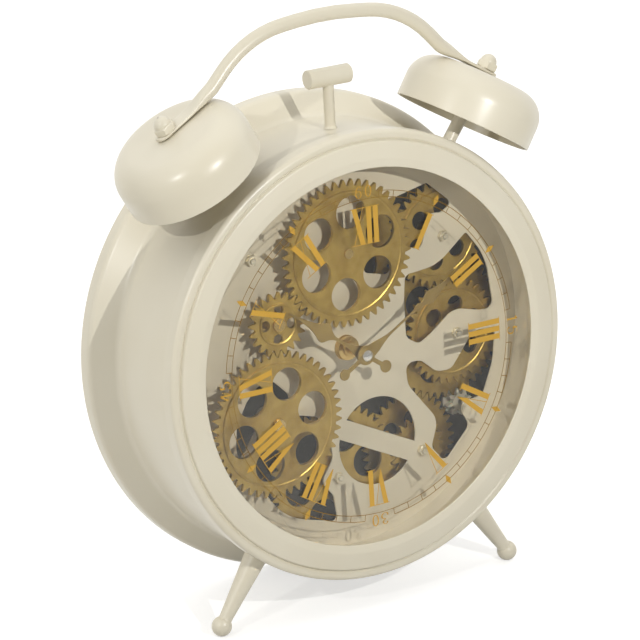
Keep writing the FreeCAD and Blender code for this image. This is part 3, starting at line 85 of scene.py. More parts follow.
joints = {joint["name"]: joint for joint in frame["joints"]}
hand_joint = joints["minute_hand_turn"]
hand_axis = Vector(hand_joint["axis"])
LEAN = math.atan2(-hand_axis.z, hand_axis.y)
glass_centre = Vector(hand_joint["pos_m"]) - hand_axis * MINUTE_FRONT * MM
CLOCK = Matrix.Translation(glass_centre) @ Matrix.Rotation(-LEAN, 4, "X")
UPRIGHT = CLOCK.inverted()


def at(x, depth, z):
    """A place in the clock, in mm."""
    return Matrix.Translation(Vector((x, depth, z)) * MM)


def round_the_clock(angle, reach):
    """The x and z of a point at an angle in degrees, clockwise from the top, in mm."""
    turn = math.radians(angle)
    return reach * math.sin(turn), reach * math.cos(turn)


def half_width(name):
    """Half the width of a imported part, in mm."""
    low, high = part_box(name)
    return (high.x - low.x) / 2 / MM


def depths(name):
    """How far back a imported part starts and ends, in mm from the front of the glass."""
    found = [(UPRIGHT @ vertex.co).y / MM for vertex in frame["nodes"][name].data.vertices]
    return min(found), max(found)


FLANGE = half_width("drum_shell")
RIM = half_width("front_bezel")
GLASS = half_width("crystal")
LINER_BACK = depths("liner_ring")[1]
print("lean", round(math.degrees(LEAN), 3), "radii", FLANGE, RIM, GLASS)

# %% [markdown]
# ## Colours and nodes
#
# Colours are written in sRGB hex, as a painter picks them on a screen, and one function
# turns them into Blender's linear light. Another adds a shader node, whose inputs are
# plain values or outputs of other nodes. The rest are what every finish here is made
# of: noise of a real size, a colour or gloss that drifts with it, and a fine relief.

# %% Colour and node helpers
def linear(code):
    """The linear colour of an sRGB hex value."""
    parts = [int(code[start:start + 2], 16) / 255 for start in (1, 3, 5)]
    return [v / 12.92 if v <= 0.04045 else ((v + 0.055) / 1.055) ** 2.4 for v in parts] + [1.0]


def add_node(tree, kind, inputs, **settings):
    """Adds a shader node; an input is a value or another node's output."""
    made = tree.nodes.new("ShaderNode" + kind)
    for name, value in settings.items():
        setattr(made, name, value)
    for name, value in inputs.items():
        if isinstance(value, bpy.types.NodeSocket):
            tree.links.new(value, made.inputs[name])
        else:
            made.inputs[name].default_value = value
    return made


def start_material(name, colour, roughness, metallic=0.0, ior=1.5):
    """A material with one Principled shader, and its tree and shader."""
    material = bpy.data.materials.new(name)
    material.use_nodes = True
    material.diffuse_color = linear(colour)
    shader = material.node_tree.nodes["Principled BSDF"]
    for name, value in (("Base Color", linear(colour)), ("Roughness", roughness),
                        ("Metallic", metallic), ("IOR", ior)):
        shader.inputs[name].default_value = value
    return material, material.node_tree, shader


def object_places(tree):
    """Places on the surface in the piece's own coordinates, in metres."""
    return add_node(tree, "TexCoord", {}).outputs["Object"]


def grain(tree, size, detail=2.0):
    """Cloudy noise whose lumps are about size mm across."""
    return add_node(tree, "TexNoise", {
        "Vector": object_places(tree), "Scale": 1 / (size * MM), "Detail": detail}).outputs["Fac"]


def stretch(tree, value, first, last, low, high, **settings):
    """A value that runs from first to last, mapped onto low to high."""
    return add_node(tree, "MapRange", {
        "Value": value, "From Min": first, "From Max": last, "To Min": low, "To Max": high},
        **settings).outputs["Result"]


def swing(tree, noise, low=0.0, high=1.0):
    """Noise stretched from its usual 0.3 to 0.7 onto low to high."""
    return stretch(tree, noise, 0.3, 0.7, low, high)


def reckon(tree, operation, *values):
    """The result of one Math node."""
    return add_node(tree, "Math", dict(enumerate(values)), operation=operation).outputs[0]


def drift_colour(tree, shader, value, first, second):
    """Lets the colour go from one hex colour to another with a value from 0 to 1."""
    mix = add_node(tree, "Mix", {0: value, 6: linear(first), 7: linear(second)}, data_type="RGBA")
    tree.links.new(mix.outputs[2], shader.inputs["Base Color"])


def drift_gloss(tree, shader, noise, low, high):
    """Lets the roughness go from low to high with noise."""
    tree.links.new(swing(tree, noise, low, high), shader.inputs["Roughness"])


def raise_surface(tree, shader, height, rise):
    """Lets a height from 0 to 1 raise the surface by rise mm."""
    bump = add_node(tree, "Bump", {"Height": height, "Distance": rise * MM, "Strength": 1.0})
    tree.links.new(bump.outputs["Normal"], shader.inputs["Normal"])


# %% [markdown]
# ## Stoved enamel
#
# The drum, bezel, bells, handle, hammer and legs are steel, sprayed with gloss enamel
# and baked, a dielectric with an IOR near 1.5. It flows before it sets, which rounds
# the edges and leaves orange peel, long shallow waves about 2 mm apart, so highlights
# are bright but a little uneven. Where the coat is thin the colour is the least bit
# warmer.

# %% Cream enamel
ENAMEL = "#DDD6C2"
ENAMEL_THIN = "#D9D1BB"
PEEL_SPACING = 2.2  # mm from wave to wave
PEEL_RISE = 0.0012  # mm


def make_enamel():
    material, tree, shader = start_material("cream_stoved_enamel", ENAMEL, 0.3)
    drift_colour(tree, shader, swing(tree, grain(tree, 60)), ENAMEL, ENAMEL_THIN)
    drift_gloss(tree, shader, grain(tree, 14), 0.29, 0.34)
    raise_surface(tree, shader, grain(tree, PEEL_SPACING, 1.0), PEEL_RISE)
    return material


enamel = make_enamel()
print("enamel", enamel.name)

# %% [markdown]
# ## Dial paint
#
# The plate behind the gears and the ring round it have a satin paint, sprayed thinner
# and drier than the enamel. Its spray texture is under a millimetre wide, which keeps
# highlights broad and weak.

# %% Satin dial paint
DIAL_PAINT = "#E6DDC9"
DIAL_PAINT_SHADE = "#E0D7C2"
SPRAY_SIZE = 0.8  # mm
SPRAY_RISE = 0.0015  # mm


def make_dial_paint():
    material, tree, shader = start_material("satin_dial_paint", DIAL_PAINT, 0.45)
    drift_colour(tree, shader, swing(tree, grain(tree, 45)), DIAL_PAINT, DIAL_PAINT_SHADE)
    raise_surface(tree, shader, grain(tree, SPRAY_SIZE), SPRAY_RISE)
    return material


dial_paint = make_dial_paint()
print("dial paint", dial_paint.name)

# %% [markdown]
# ## Turned and stamped brass
#
# The gears are stamped from brass sheet, faced on a lathe and lacquered. Facing leaves
# rings far finer than a pixel, drawn 0.5 mm apart here to show at all. They follow the
# distance to the piece's own centre, so each gear below is modelled about its own
# arbor. The lacquer makes the metal satin, and dust in the corners dulls it in patches.

# %% Brass for gears and for turned parts
def rings_round_centre(tree, spacing):
    """Noise that changes only with the distance from the piece's own Y axis."""
    flat = add_node(tree, "VectorMath", {0: object_places(tree), 1: (1.0, 0.0, 1.0)},
                    operation="MULTIPLY")
    distance = add_node(tree, "VectorMath", {0: flat.outputs["Vector"]}, operation="LENGTH")
    return add_node(tree, "TexNoise", {
        "W": distance.outputs["Value"], "Scale": 1 / (spacing * MM), "Detail": 2.0},
        noise_dimensions="1D").outputs["Fac"]


def make_brass(name, bright, dull, roughness, spacing, rise):
    """Lathe-turned brass: rings round the centre, dull patches, a satin lacquer."""
    material, tree, shader = start_material(name, bright, roughness, metallic=1.0)
    drift_colour(tree, shader, swing(tree, grain(tree, 9)), bright, dull)
    rings = rings_round_centre(tree, spacing)
    drift_gloss(tree, shader, rings, roughness - 0.05, roughness + 0.08)
    raise_surface(tree, shader, rings, rise)
    return material


# name, bright, dull, roughness, mm between the rings, their rise in mm
gear_brass = make_brass("lacquered_gear_brass", "#BCA055", "#A48842", 0.36, 0.5, 0.006)
hand_brass = make_brass("satin_hand_brass", "#AC955C", "#9A824C", 0.38, 0.6, 0.002)
turned_brass = make_brass("bright_turned_brass", "#D8BC7C", "#C6A665", 0.18, 0.4, 0.004)
print("brasses", gear_brass.name, hand_brass.name, turned_brass.name)

# %% [markdown]
# ## Steel, chrome and black paint
#
# Screws and pins are zinc-plated steel, neutral and slightly cloudy. The small nuts on
# the dial are nickel-plated, which is lighter and a little warm of itself; the cream in
# their two tones is mostly a painted reflection of the cream dial round them. The chromed
# cap over the hands mirrors the room. The rear plate and the back cover are painted
# semi-matt black, with a fine leathery grain.

# %% Steel, chrome and black paint
def make_plated(name, bright, cloudy, low, high):
    """Plated steel: two close greys and a roughness that drift together."""
    material, tree, shader = start_material(name, bright, low, metallic=1.0)
    cloud = grain(tree, 3)
    drift_colour(tree, shader, cloud, bright, cloudy)
    drift_gloss(tree, shader, cloud, low, high)
    return material


def make_chrome():
    material, tree, shader = start_material("polished_chrome", "#E6E6E6", 0.06, metallic=1.0)
    drift_gloss(tree, shader, grain(tree, 1.5), 0.04, 0.1)
    return material


def make_coat(name, tones, roughness, patch, relief=None, metallic=0.0):
    """A coat whose last two tones drift over patch mm; relief is a grain's width and rise in mm."""
    material, tree, shader = start_material(name, tones[0], roughness, metallic)
    drift_colour(tree, shader, grain(tree, patch), *tones[-2:])
    if relief:
        raise_surface(tree, shader, grain(tree, relief[0]), relief[1])
    return material


steel = make_plated("zinc_plated_steel", "#CFCFCC", "#B4B3AE", 0.29, 0.38)
# The cream of these two tones is mostly a painted reflection of the cream dial round the nuts.
nickel_and_dial_reflection = make_plated("nickel_with_painted_dial_reflection", "#EAE2CD", "#DDD5C0", 0.36, 0.44)
chrome = make_chrome()
black_paint = make_coat(
    "semi_matt_black_paint", ("#25241F", "#22211D", "#2B2A24"), 0.5, 6, (0.5, 0.01))
print("metals", steel.name, nickel_and_dial_reflection.name, chrome.name, black_paint.name)

# %% [markdown]
# ## Plastics, rubber and the cells' wrap
#
# The movement's box, battery box and knob are black ABS with a spark-eroded grain of
# about half a millimetre. The motor's case and pinion are milky nylon, which lets a
# little light in. The gasket is black rubber, the most matt thing in the clock, and the
# cells have a smooth, glossy shrunk film.

# %% Plastics, rubber and film
abs_black = make_coat("grained_black_abs", ("#282724", "#2E2D2A"), 0.48, 5, (0.5, 0.02))
nylon = make_coat("milky_nylon", ("#CFCBBB", "#C4BFAD"), 0.42, 5, (1.2, 0.004))
milky = nylon.node_tree.nodes["Principled BSDF"].inputs
milky["Subsurface Weight"].default_value = 0.15
milky["Subsurface Scale"].default_value = 0.002  # m
rubber = make_coat("black_gasket_rubber", ("#1B1B1B", "#242423"), 0.75, 5, (0.8, 0.01))
cell_film = make_coat("shrunk_cell_film", ("#3E4A52", "#36424A"), 0.18, 5, (4.0, 0.01))
print("plastics", abs_black.name, nylon.name, rubber.name, cell_film.name)

# %% [markdown]
# ## Window glass
#
# The crystal is a disc of soda-lime glass, IOR 1.52, polished on both faces. A path
# tracer finds very little light through two refracting faces, so for shadow rays the
# glass is transparent. Scattered light passes it in the same way, or what comes in
# would be counted twice. The gears are then lit as in the real clock, while the eye
# still gets the reflections.

# %% Glass
GLASS_TINT = "#F6F5F1"


def make_glass():
    material, tree, shader = start_material("polished_soda_lime_glass", GLASS_TINT, 0.0, ior=1.52)
    shader.inputs["Transmission Weight"].default_value = 1.0
    clear = add_node(tree, "BsdfTransparent", {"Color": linear(GLASS_TINT)})
    path = add_node(tree, "LightPath", {}).outputs
    lighting = reckon(tree, "MAXIMUM", path["Is Shadow Ray"], path["Is Diffuse Ray"])
    mix = add_node(tree, "MixShader", {
        0: lighting, 1: shader.outputs["BSDF"], 2: clear.outputs["BSDF"]})
    tree.links.new(mix.outputs["Shader"], tree.nodes["Material Output"].inputs["Surface"])
    return material


glass = make_glass()
print("glass", glass.name)

# %% [markdown]
# ## Gold print
#
# The hours are screen-printed with a varnish full of bronze flakes, part paint and part
# metal: a deep yellow that glints only a little. In the hairlines of the minute track
# the varnish runs off the flakes and the print looks browner.

# %% Gold ink
FLAKE = 0.3  # mm
gold_ink = make_coat("gold_screen_ink", ("#D6A945", "#C19432"), 0.42, FLAKE, metallic=0.25)
line_ink = make_coat("gold_line_ink", ("#A07C35", "#8C6A2A"), 0.42, FLAKE, metallic=0.4)
print("inks", gold_ink.name, line_ink.name)

# %% [markdown]
# ## Three ways to make a shape
#
# Almost every part was made in one of three ways. Spun and turned parts come from a
# profile swept round an axis. Stamped parts are flat outlines with a thickness, for
# which a filled 2D curve does well, since its bevel gives the stamped edge. Bent parts
# are a section carried along a path. An outline's arcs are worked out from a corner and
# its rounding.

# %% Outlines
ARC_STEP = 6.0  # degrees between the points of an arc
SPLINE_STEPS = 6


def on_circle(x, y, radius, turns):
    """Points of a circle round (x, y), by angles in radians."""
    return [(x + radius * math.cos(turn), y + radius * math.sin(turn)) for turn in turns]


def rounded(corners):
    """Points of an outline from corners (a, b) or, for an arc, (a, b, rounding)."""
    points = []
    for place, corner in enumerate(corners):
        here = Vector(corner[:2])
        if len(corner) < 3:
            points.append((here.x, here.y))
            continue
        rounding = corner[2]
        behind = (Vector(corners[place - 1][:2]) - here).normalized()
        ahead = (Vector(corners[(place + 1) % len(corners)][:2]) - here).normalized()
        half = behind.angle(ahead) / 2
        centre = here + (behind + ahead).normalized() * rounding / math.sin(half)
        first = here + behind * rounding / math.tan(half) - centre
        last = here + ahead * rounding / math.tan(half) - centre
        start = math.atan2(first.y, first.x)
        sweep = math.atan2(first.x * last.y - first.y * last.x, first.dot(last))
        steps = max(2, math.ceil(abs(math.degrees(sweep)) / ARC_STEP))
        turns = [start + sweep * step / steps for step in range(steps + 1)]
        points += on_circle(centre.x, centre.y, rounding, turns)
    return points


def smoothed(points):
    """Points of a Catmull-Rom spline through the given ones."""
    near = [Vector(p) for p in points]
    near = [near[0]] + near + [near[-1]]
    found = []
    for a, b, c, d in zip(near, near[1:], near[2:], near[3:]):
        for step in range(SPLINE_STEPS):
            t = step / SPLINE_STEPS
            found.append((b * 2 + (c - a) * t + (a * 2 - b * 5 + c * 4 - d) * t ** 2
                          + (b * 3 - a - c * 3 + d) * t ** 3) / 2)
    return found + [near[-1]]


# %% Turned and spun forms
def finished(build, name):
    """The mesh of a bmesh that is done."""
    mesh = bpy.data.meshes.new(name)
    build.to_mesh(mesh)
    build.free()
    return mesh


def rings_to_mesh(rings):
    """A closed mesh from rings of points in metres; a ring of one point is a pole."""
    build = bmesh.new()
    made = [[build.verts.new(point) for point in ring] for ring in rings]
    for this, other in zip(made, made[1:] + made[:1]):
        count = max(len(this), len(other))
        for step in range(count):
            follow = (step + 1) % count
            around = [this[step % len(this)], this[follow % len(this)],
                      other[follow % len(other)], other[step % len(other)]]
            corners = [v for place, v in enumerate(around) if v not in around[:place]]
            if len(corners) > 2:
                build.faces.new(corners)
    bmesh.ops.recalc_face_normals(build, faces=build.faces)
    return finished(build, "turned")


def turned(corners, segments=96, flats=None):
    """A profile (radius, depth) in mm swept round the Y axis, and cut to a hexagon by flats."""
    rings = []
    for radius, depth in rounded(corners):
        if radius < 1e-6:
            rings.append([(0.0, depth * MM, 0.0)])
            continue
        ring = []
        for step in range(segments):
            turn = math.tau * step / segments
            reach = radius
            if flats:
                off_flat = (turn + math.pi / 6) % (math.pi / 3) - math.pi / 6
                reach = min(radius, flats / 2 / math.cos(off_flat))
            ring.append((reach * math.sin(turn) * MM, depth * MM, reach * math.cos(turn) * MM))
        rings.append(ring)
    return rings_to_mesh(rings)


# %% [markdown]
# The outlines of the dial and the gears are not written again here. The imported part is
# already the right shape, so the edges of one of its flat faces are read back, in clock
# coordinates, and stamped anew with a softer edge and finer teeth.

# %% Stamped forms
def flat_outlines(name, depth, faces_front, centre=(0.0, 0.0)):
    """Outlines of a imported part's flat face at a depth, as lists of (x, z) in mm from centre."""
    data = frame["nodes"][name].data
    places = [UPRIGHT @ vertex.co / MM for vertex in data.vertices]
    corners = [(round(p.x - centre[0], 3), round(p.z - centre[1], 3)) for p in places]
    into = hand_axis * (-1 if faces_front else 1)
    edges = set()
    for face in data.polygons:
        level = all(abs(places[v].y - depth) < 0.02 for v in face.vertices)
        if not level or face.normal.dot(into) < 0.5:
            continue
        around = [corners[v] for v in face.vertices]
        for edge in zip(around, around[1:] + around[:1]):
            if edge[::-1] in edges:
                edges.discard(edge[::-1])
            else:
                edges.add(edge)
    follow = dict(sorted(edges))
    outlines = []
    while follow:
        here, after = follow.popitem()
        outline = [here]
        while after in follow:
            outline.append(after)
            after = follow.pop(after)
        outlines.append(outline)
    return outlines


def stamped(outlines, front, back, edge=0.12):
    """Sheet from front to back, in mm, cut to outlines, its edges broken by edge mm."""
    curve = bpy.data.curves.new("stamped", "CURVE")
    curve.dimensions = "2D"
    curve.fill_mode = "BOTH"
    curve.extrude = ((back - front) / 2 - edge) * MM
    curve.bevel_depth = edge * MM
    curve.bevel_resolution = 0
    curve.offset = -edge * MM
    for outline in outlines:
        spline = curve.splines.new("POLY")
        spline.points.add(len(outline) - 1)
        for point, (x, z) in zip(spline.points, outline):
            point.co = (x * MM, z * MM, 0.0, 1.0)
        spline.use_cyclic_u = True
    holder = bpy.data.objects.new("stamped", curve)
    mesh = bpy.data.meshes.new_from_object(holder)
    bpy.data.objects.remove(holder)
    mesh.transform(at(0, (front + back) / 2, 0) @ Matrix.Rotation(math.pi / 2, 4, "X"))
    return mesh


# %% Joining and placing
SHARP = math.radians(32)


def joined(meshes):
    """Several meshes as one."""
    build = bmesh.new()
    for mesh in meshes:
        build.from_mesh(mesh)
        bpy.data.meshes.remove(mesh)
    bmesh.ops.remove_doubles(build, verts=build.verts, dist=1e-7)
    return finished(build, "joined")


def new_object(name, data):
    """An object in the scene."""
    made = bpy.data.objects.new(name, data)
    bpy.context.scene.collection.objects.link(made)
    return made


def set_piece(name, mesh, place, material, body, slot, *nodes):
    """Puts a mesh in the clock, in its finish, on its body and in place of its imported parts."""
    piece = new_object(name, mesh)
    mesh.name = name
    mesh.materials.clear()
    mesh.materials.append(material)
    mesh.shade_smooth()
    mesh.set_sharp_from_angle(angle=SHARP)
    piece.matrix_world = CLOCK @ place
    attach(piece, body)
    if nodes:
        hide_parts(*nodes)
    return piece


def set_enamelled(name, mesh, place, node):
    """Puts a piece of the case in place that is enamelled cream."""
    return set_piece(name, mesh, place, enamel, "case", "cream_enamel", node)


HERE = Matrix.Identity(4)

# %% [markdown]
# ## Drum and bezel
#
# The drum is spun from 1.5 mm sheet: a straight barrel that flares at the back into a
# wide flange. The bezel is pressed. Its face dips towards the glass, rises over a
# rounded crest and ends in a groove and a bead that folds back over the drum. Both are
# turned in fine steps, since their edges are the clock's outline.

# %% Drum
DRUM = RIM - 3.0
SHEET = 1.5
FLARE_FRONT = 66.5
FLARE_BACK = 79.0
FLANGE_BACK = 88.0
ROLLED = 0.6  # how far paint and rolling round a cut edge
FINE = 240  # points round the largest rings
INSIDE = DRUM - SHEET
LEDGE_FRONT, LEDGE_BACK = LINER_BACK + 1.35, LINER_BACK + 2.85  # the ledge behind the dial
DRUM_PROFILE = [
    (DRUM, 3.2, 0.3), (DRUM, FLARE_FRONT, 8), (FLANGE, FLARE_BACK, 6),
    (FLANGE, FLANGE_BACK, ROLLED), (FLANGE - SHEET, FLANGE_BACK, ROLLED),
    (FLANGE - SHEET, FLARE_BACK + 0.66, 4.5), (INSIDE, FLARE_FRONT + 0.66, 9.5),
    (INSIDE, LEDGE_BACK), (INSIDE - 3, LEDGE_BACK, 0.3), (INSIDE - 3, LEDGE_FRONT, 0.3),
    (INSIDE, LEDGE_FRONT), (INSIDE, 3.2, 0.3)]
drum = set_enamelled("spun_drum", turned(DRUM_PROFILE, FINE), HERE, "drum_shell")
print("drum", len(drum.data.vertices))

# %% Bezel
OPENING = GLASS - 11.9
GAP = 0.15
BEZEL_PROFILE = [
    (OPENING, -0.9, 0.4), (OPENING + 5, -1.8, 6), (OPENING + 15.1, -0.5, 1.2),
    (OPENING + 15.9, 1.6, 0.3), (RIM - 4.7, 0.6, 0.8), (RIM, 0.4, 2.7), (RIM, 10.5, 0.6),
    (DRUM + GAP, 10.5, 0.6), (DRUM + GAP, 3.0), (GLASS + GAP, 3.0), (GLASS + GAP, 0.0),
    (OPENING, 0.0)]
bezel = set_enamelled("pressed_bezel", turned(BEZEL_PROFILE, FINE), HERE, "front_bezel")
print("bezel", len(bezel.data.vertices))

# %% [markdown]
# ## The ring between glass and dial
#
# A ring of painted sheet keeps the dial 30 mm behind the glass. Both its edges turn
# outwards: the front one carries the gasket, the back one the dial. Its inner wall
# shows through the glass from the side and holds most of the shade in the clock.

# %% Liner
WALL = 1.2
front, outer, inner = depths("liner_ring")[0], half_width("liner_ring"), GLASS - 3
LINER_PROFILE = [
    (inner, front, 0.5), (outer, front), (outer, front + WALL), (inner + WALL, front + WALL, 0.3),
    (inner + WALL, LINER_BACK - WALL, 0.3), (outer, LINER_BACK - WALL), (outer, LINER_BACK),
    (inner, LINER_BACK, 0.3)]
liner = set_piece("dial_liner", turned(LINER_PROFILE, FINE), HERE, dial_paint, "case",
                  "dial_paint", "liner_ring")
print("liner", len(liner.data.vertices))

# %% [markdown]
# ## Bells
#
# The bells are cups spun from thin sheet, with a round shoulder and a nearly flat
# crown. They stand on posts and lean outwards. Each is one profile turned about its
# own axis, which is then laid along the bell's real one.

# %% Bells
BELL_RADIUS = 42.6
BELL_HEIGHT = 31.8
BELL_WALL = 1.2
BELL_TILT = math.radians(30.6)
BELL_FORWARD = math.radians(2.0)
BELL_DEPTH = 33.3
BELL_PLACE = 37.651  # degrees from the top of the dial
BELL_REACH = DRUM + 19.57
POST_HOLE = 3.05


def make_bell():
    inside = BELL_RADIUS - BELL_WALL
    under = BELL_HEIGHT - BELL_WALL
    return turned([
        (BELL_RADIUS, 0.0, 0.45), (BELL_RADIUS, BELL_HEIGHT - 1.4, 17), (10.0, BELL_HEIGHT, 14),
        (POST_HOLE, BELL_HEIGHT), (POST_HOLE, under), (10.0, under, 14),
        (inside, under - 1.4, 15.8), (inside, 0.0, 0.45)], 192)


def bell_place(side):
    """A bell's own Y axis runs from the middle of its rim to its crown."""
    axis = Vector((side * math.sin(BELL_TILT) * math.cos(BELL_FORWARD), -math.sin(BELL_FORWARD),
                   math.cos(BELL_TILT) * math.cos(BELL_FORWARD)))
    x, z = round_the_clock(side * BELL_PLACE, BELL_REACH)
    return at(x, BELL_DEPTH, z) @ axis.to_track_quat("Y", "Z").to_matrix().to_4x4()


SIDES = (("left", -1), ("right", 1))
for side_name, side in SIDES:
    set_enamelled("spun_bell_" + side_name, make_bell(), bell_place(side), "bell_" + side_name)
crown = bell_place(1) @ Vector((0, BELL_HEIGHT * MM, 0)) / MM
print("bell crown at", [round(v, 2) for v in crown])

# %% [markdown]
# ## Acorn nuts
#
# Domed nuts clamp the handle and the bells to their posts. A hexagon is a round bar
# with six flats milled off, so the turned profile is held within a hexagon, which
# leaves the curved chamfers on its corners.

# %% Nuts
NUT_FLATS = 11.5
NUT_HEIGHT = 4.6
NUT_DOME = 5.0
TONGUE_LIFT = 0.5
TONGUE_THICK = 2.2
CHAMFER_SLOPE = math.tan(math.radians(30))


def hexagon_profile(flats, height, bore):
    """Outer corners of a nut's profile, chamfered below and on top."""
    corner = flats / 2 / math.cos(math.pi / 6)
    face = flats / 2 - 0.1
    chamfer = (corner - face) * CHAMFER_SLOPE
    return [(bore, 0.0), (face, 0.0), (corner, chamfer), (corner, height - chamfer),
            (face, height)]


def crown_place(side):
    """On a bell's crown: X inward along the slope, Y up the nut's axis."""
    inward = Vector((-side * math.cos(BELL_TILT), 0, math.sin(BELL_TILT)))
    upward = Vector((side * math.sin(BELL_TILT), 0, math.cos(BELL_TILT)))
    turn = Matrix((inward, upward, inward.cross(upward))).transposed().to_4x4()
    return at(side * crown.x, crown.y, crown.z) @ turn


def make_acorn_nut():
    rises = [math.radians(rise) for rise in range(0, 90, 9)]
    dome = on_circle(0.0, NUT_HEIGHT, NUT_DOME, rises) + [(0.0, NUT_HEIGHT + NUT_DOME)]
    return turned(hexagon_profile(NUT_FLATS, NUT_HEIGHT, POST_HOLE) + dome, flats=NUT_FLATS)


for side_name, side in SIDES:
    seat = crown_place(side) @ at(0, TONGUE_LIFT + TONGUE_THICK, 0)
    set_enamelled("domed_nut_" + side_name, make_acorn_nut(), seat, "acorn_nut_" + side_name)
print("nuts", NUT_FLATS, "mm over the flats")

# %% [markdown]
# ## Handle
#
# The handle is a steel tube bent over a former, its ends hammered flat into tongues and
# drilled for the posts. A bevelled curve keeps one section all the way, so the tube is
# built ring by ring. Each ring is a superellipse: exponent 2 is a round tube, a higher
# one a flat bar with soft corners.

# %% Handle
TUBE = 4.2
TONGUE_HALF = 5.0
# The tongue's tip, its inner end and the round tube's start, in mm from the nut's axis.
TONGUE_TIP, TONGUE_END, TUBE_START = 8.0, 15.0, 37.0
TUBE_LIFT = 3.3
RING_STEP = 1.1  # mm
RING_POINTS = 40
HANDLE_TOP = DRUM + 69.5


def handle_line():
    """The tube's centre line, tip to tip, as (x, z) in mm."""
    place = crown_place(1)
    middle = TONGUE_LIFT + TONGUE_THICK / 2

    def on_crown(inward, up, *rounding):
        point = place @ (Vector((inward, up, 0)) * MM) / MM
        return (point.x, point.z, *rounding)

    right = [on_crown(-TONGUE_TIP, middle), on_crown(TONGUE_END, middle, 60),
             on_crown(TUBE_START, TUBE_LIFT, 12), (0.498 * crown.x, HANDLE_TOP - 6, 66)]
    left = [(-x, z, *rest) for x, z, *rest in reversed(right)]
    return rounded(right + [(0.0, HANDLE_TOP, 190)] + left)


def evenly(points, step):
    """Points every step mm along a line, and the distance of each from the nearer end."""
    places = [Vector(point) for point in points]
    runs = [(b - a).length for a, b in zip(places, places[1:])]
    whole = sum(runs)
    count = round(whole / step)
    found = []
    run, passed = 0, 0.0
    for number in range(count + 1):
        reach = whole * number / count
        while run < len(runs) - 1 and passed + runs[run] < reach:
            passed += runs[run]
            run += 1
        share = (reach - passed) / runs[run]
        found.append((places[run].lerp(places[run + 1], share), min(reach, whole - reach)))
    return found


def ring_sizes(from_tip):
    """Half width, half thickness and squareness of the handle's section."""
    width, thick, square = TONGUE_HALF, TONGUE_THICK / 2, 4.0
    flat_end, round_from = TONGUE_TIP + TONGUE_END, TONGUE_TIP + TUBE_START
    if from_tip < TONGUE_HALF:
        short = TONGUE_HALF - from_tip
        width = math.sqrt(max(TONGUE_HALF ** 2 - short ** 2, 0.3))
    share = min(max((from_tip - flat_end) / (round_from - flat_end), 0.0), 1.0)
    ease = share * share * (3 - 2 * share)
    return (width + (TUBE - TONGUE_HALF) * ease, thick + (TUBE - thick) * ease, square - 2 * ease)


def make_handle():
    stations = evenly(handle_line(), RING_STEP)
    rings = []
    for number, (centre, from_tip) in enumerate(stations):
        before = stations[max(number - 1, 0)][0]
        after = stations[min(number + 1, len(stations) - 1)][0]
        along = (after - before).normalized()
        width, thick, square = ring_sizes(from_tip)
        ring = []
        for step in range(RING_POINTS):
            turn = math.tau * step / RING_POINTS
            wide = math.copysign(abs(math.cos(turn)) ** (2 / square), math.cos(turn)) * width
            high = math.copysign(abs(math.sin(turn)) ** (2 / square), math.sin(turn)) * thick
            ring.append(((centre.x - along.y * high) * MM, (crown.y + wide) * MM,
                         (centre.y + along.x * high) * MM))
        rings.append(ring)
    tips = [Vector((stations[end][0].x, crown.y, stations[end][0].y)) * MM for end in (0, -1)]
    return rings_to_mesh([[tips[0]]] + rings + [[tips[1]]])


handle = set_enamelled("bent_handle", make_handle(), HERE, "handle")
print("handle rings", len(handle.data.vertices) // RING_POINTS)

# %% [markdown]
# ## Hammer
#
# The hammer between the bells is an ornament, a short bar across a round stem that is
# riveted to the drum. The bar's ends keep a small rounded edge that catches the light.

# %% Hammer
HAMMER_DEPTH = 33.0
HAMMER_TOP = DRUM + 31.0
STEM = 3.3
HEAD = 5.7
HEAD_HALF = 14.4
RIVET = 2.5
Y_TO_Z = Matrix.Rotation(math.pi / 2, 4, "X")
Y_TO_X = Matrix.Rotation(-math.pi / 2, 4, "Z")

stem_mesh = turned([
    (0.0, DRUM - SHEET), (RIVET, DRUM - SHEET), (RIVET, DRUM + 0.1), (STEM + 0.7, DRUM + 0.1),
    (STEM, DRUM + 1.6, 1.2), (STEM, HAMMER_TOP - 2), (0.0, HAMMER_TOP - 2)], 64)
set_enamelled("hammer_rod", stem_mesh, at(0, HAMMER_DEPTH, 0) @ Y_TO_Z, "hammer_stem")
head_mesh = turned([
    (0.0, -HEAD_HALF), (HEAD, -HEAD_HALF, 0.8), (HEAD, HEAD_HALF, 0.8), (0.0, HEAD_HALF)])
set_enamelled("hammer_bar", head_mesh, at(0, HAMMER_DEPTH, HAMMER_TOP) @ Y_TO_X, "hammer_head")
print("hammer", 2 * HEAD_HALF, "mm wide")

# %% [markdown]
# ## Legs
#
# The legs are turned tapers with a ball at the foot, ground flat where it stands. The
# flat is level with the table while the leg leans, so the leg is turned, put in its
# place, and cut there by the plane of the table.

# %% Legs
LEG_ANGLE = 34.57
LEG_DEPTH = 18.0
LEG_REACH = DRUM + 47.5
FOOT = 6.1
LEG_TOP = 7.1
LEG_NECK = 4.0


def make_leg():
    neck = LEG_REACH - math.sqrt(FOOT ** 2 - LEG_NECK ** 2)
    first = math.degrees(math.asin(LEG_NECK / FOOT))
    turns = [math.radians(first + (180 - first) * step / 20) for step in range(1, 20)]
    ball = [(FOOT * math.sin(turn), LEG_REACH - FOOT * math.cos(turn)) for turn in turns]
    return turned([
        (0.0, DRUM - 7), (RIVET, DRUM - 7), (RIVET, DRUM + 0.2), (LEG_TOP, DRUM + 0.2, 0.5),
        (LEG_NECK, neck - 0.8, 1.5), (LEG_NECK + 0.25, neck + 0.4)] + ball + [
        (0.0, LEG_REACH + FOOT)])


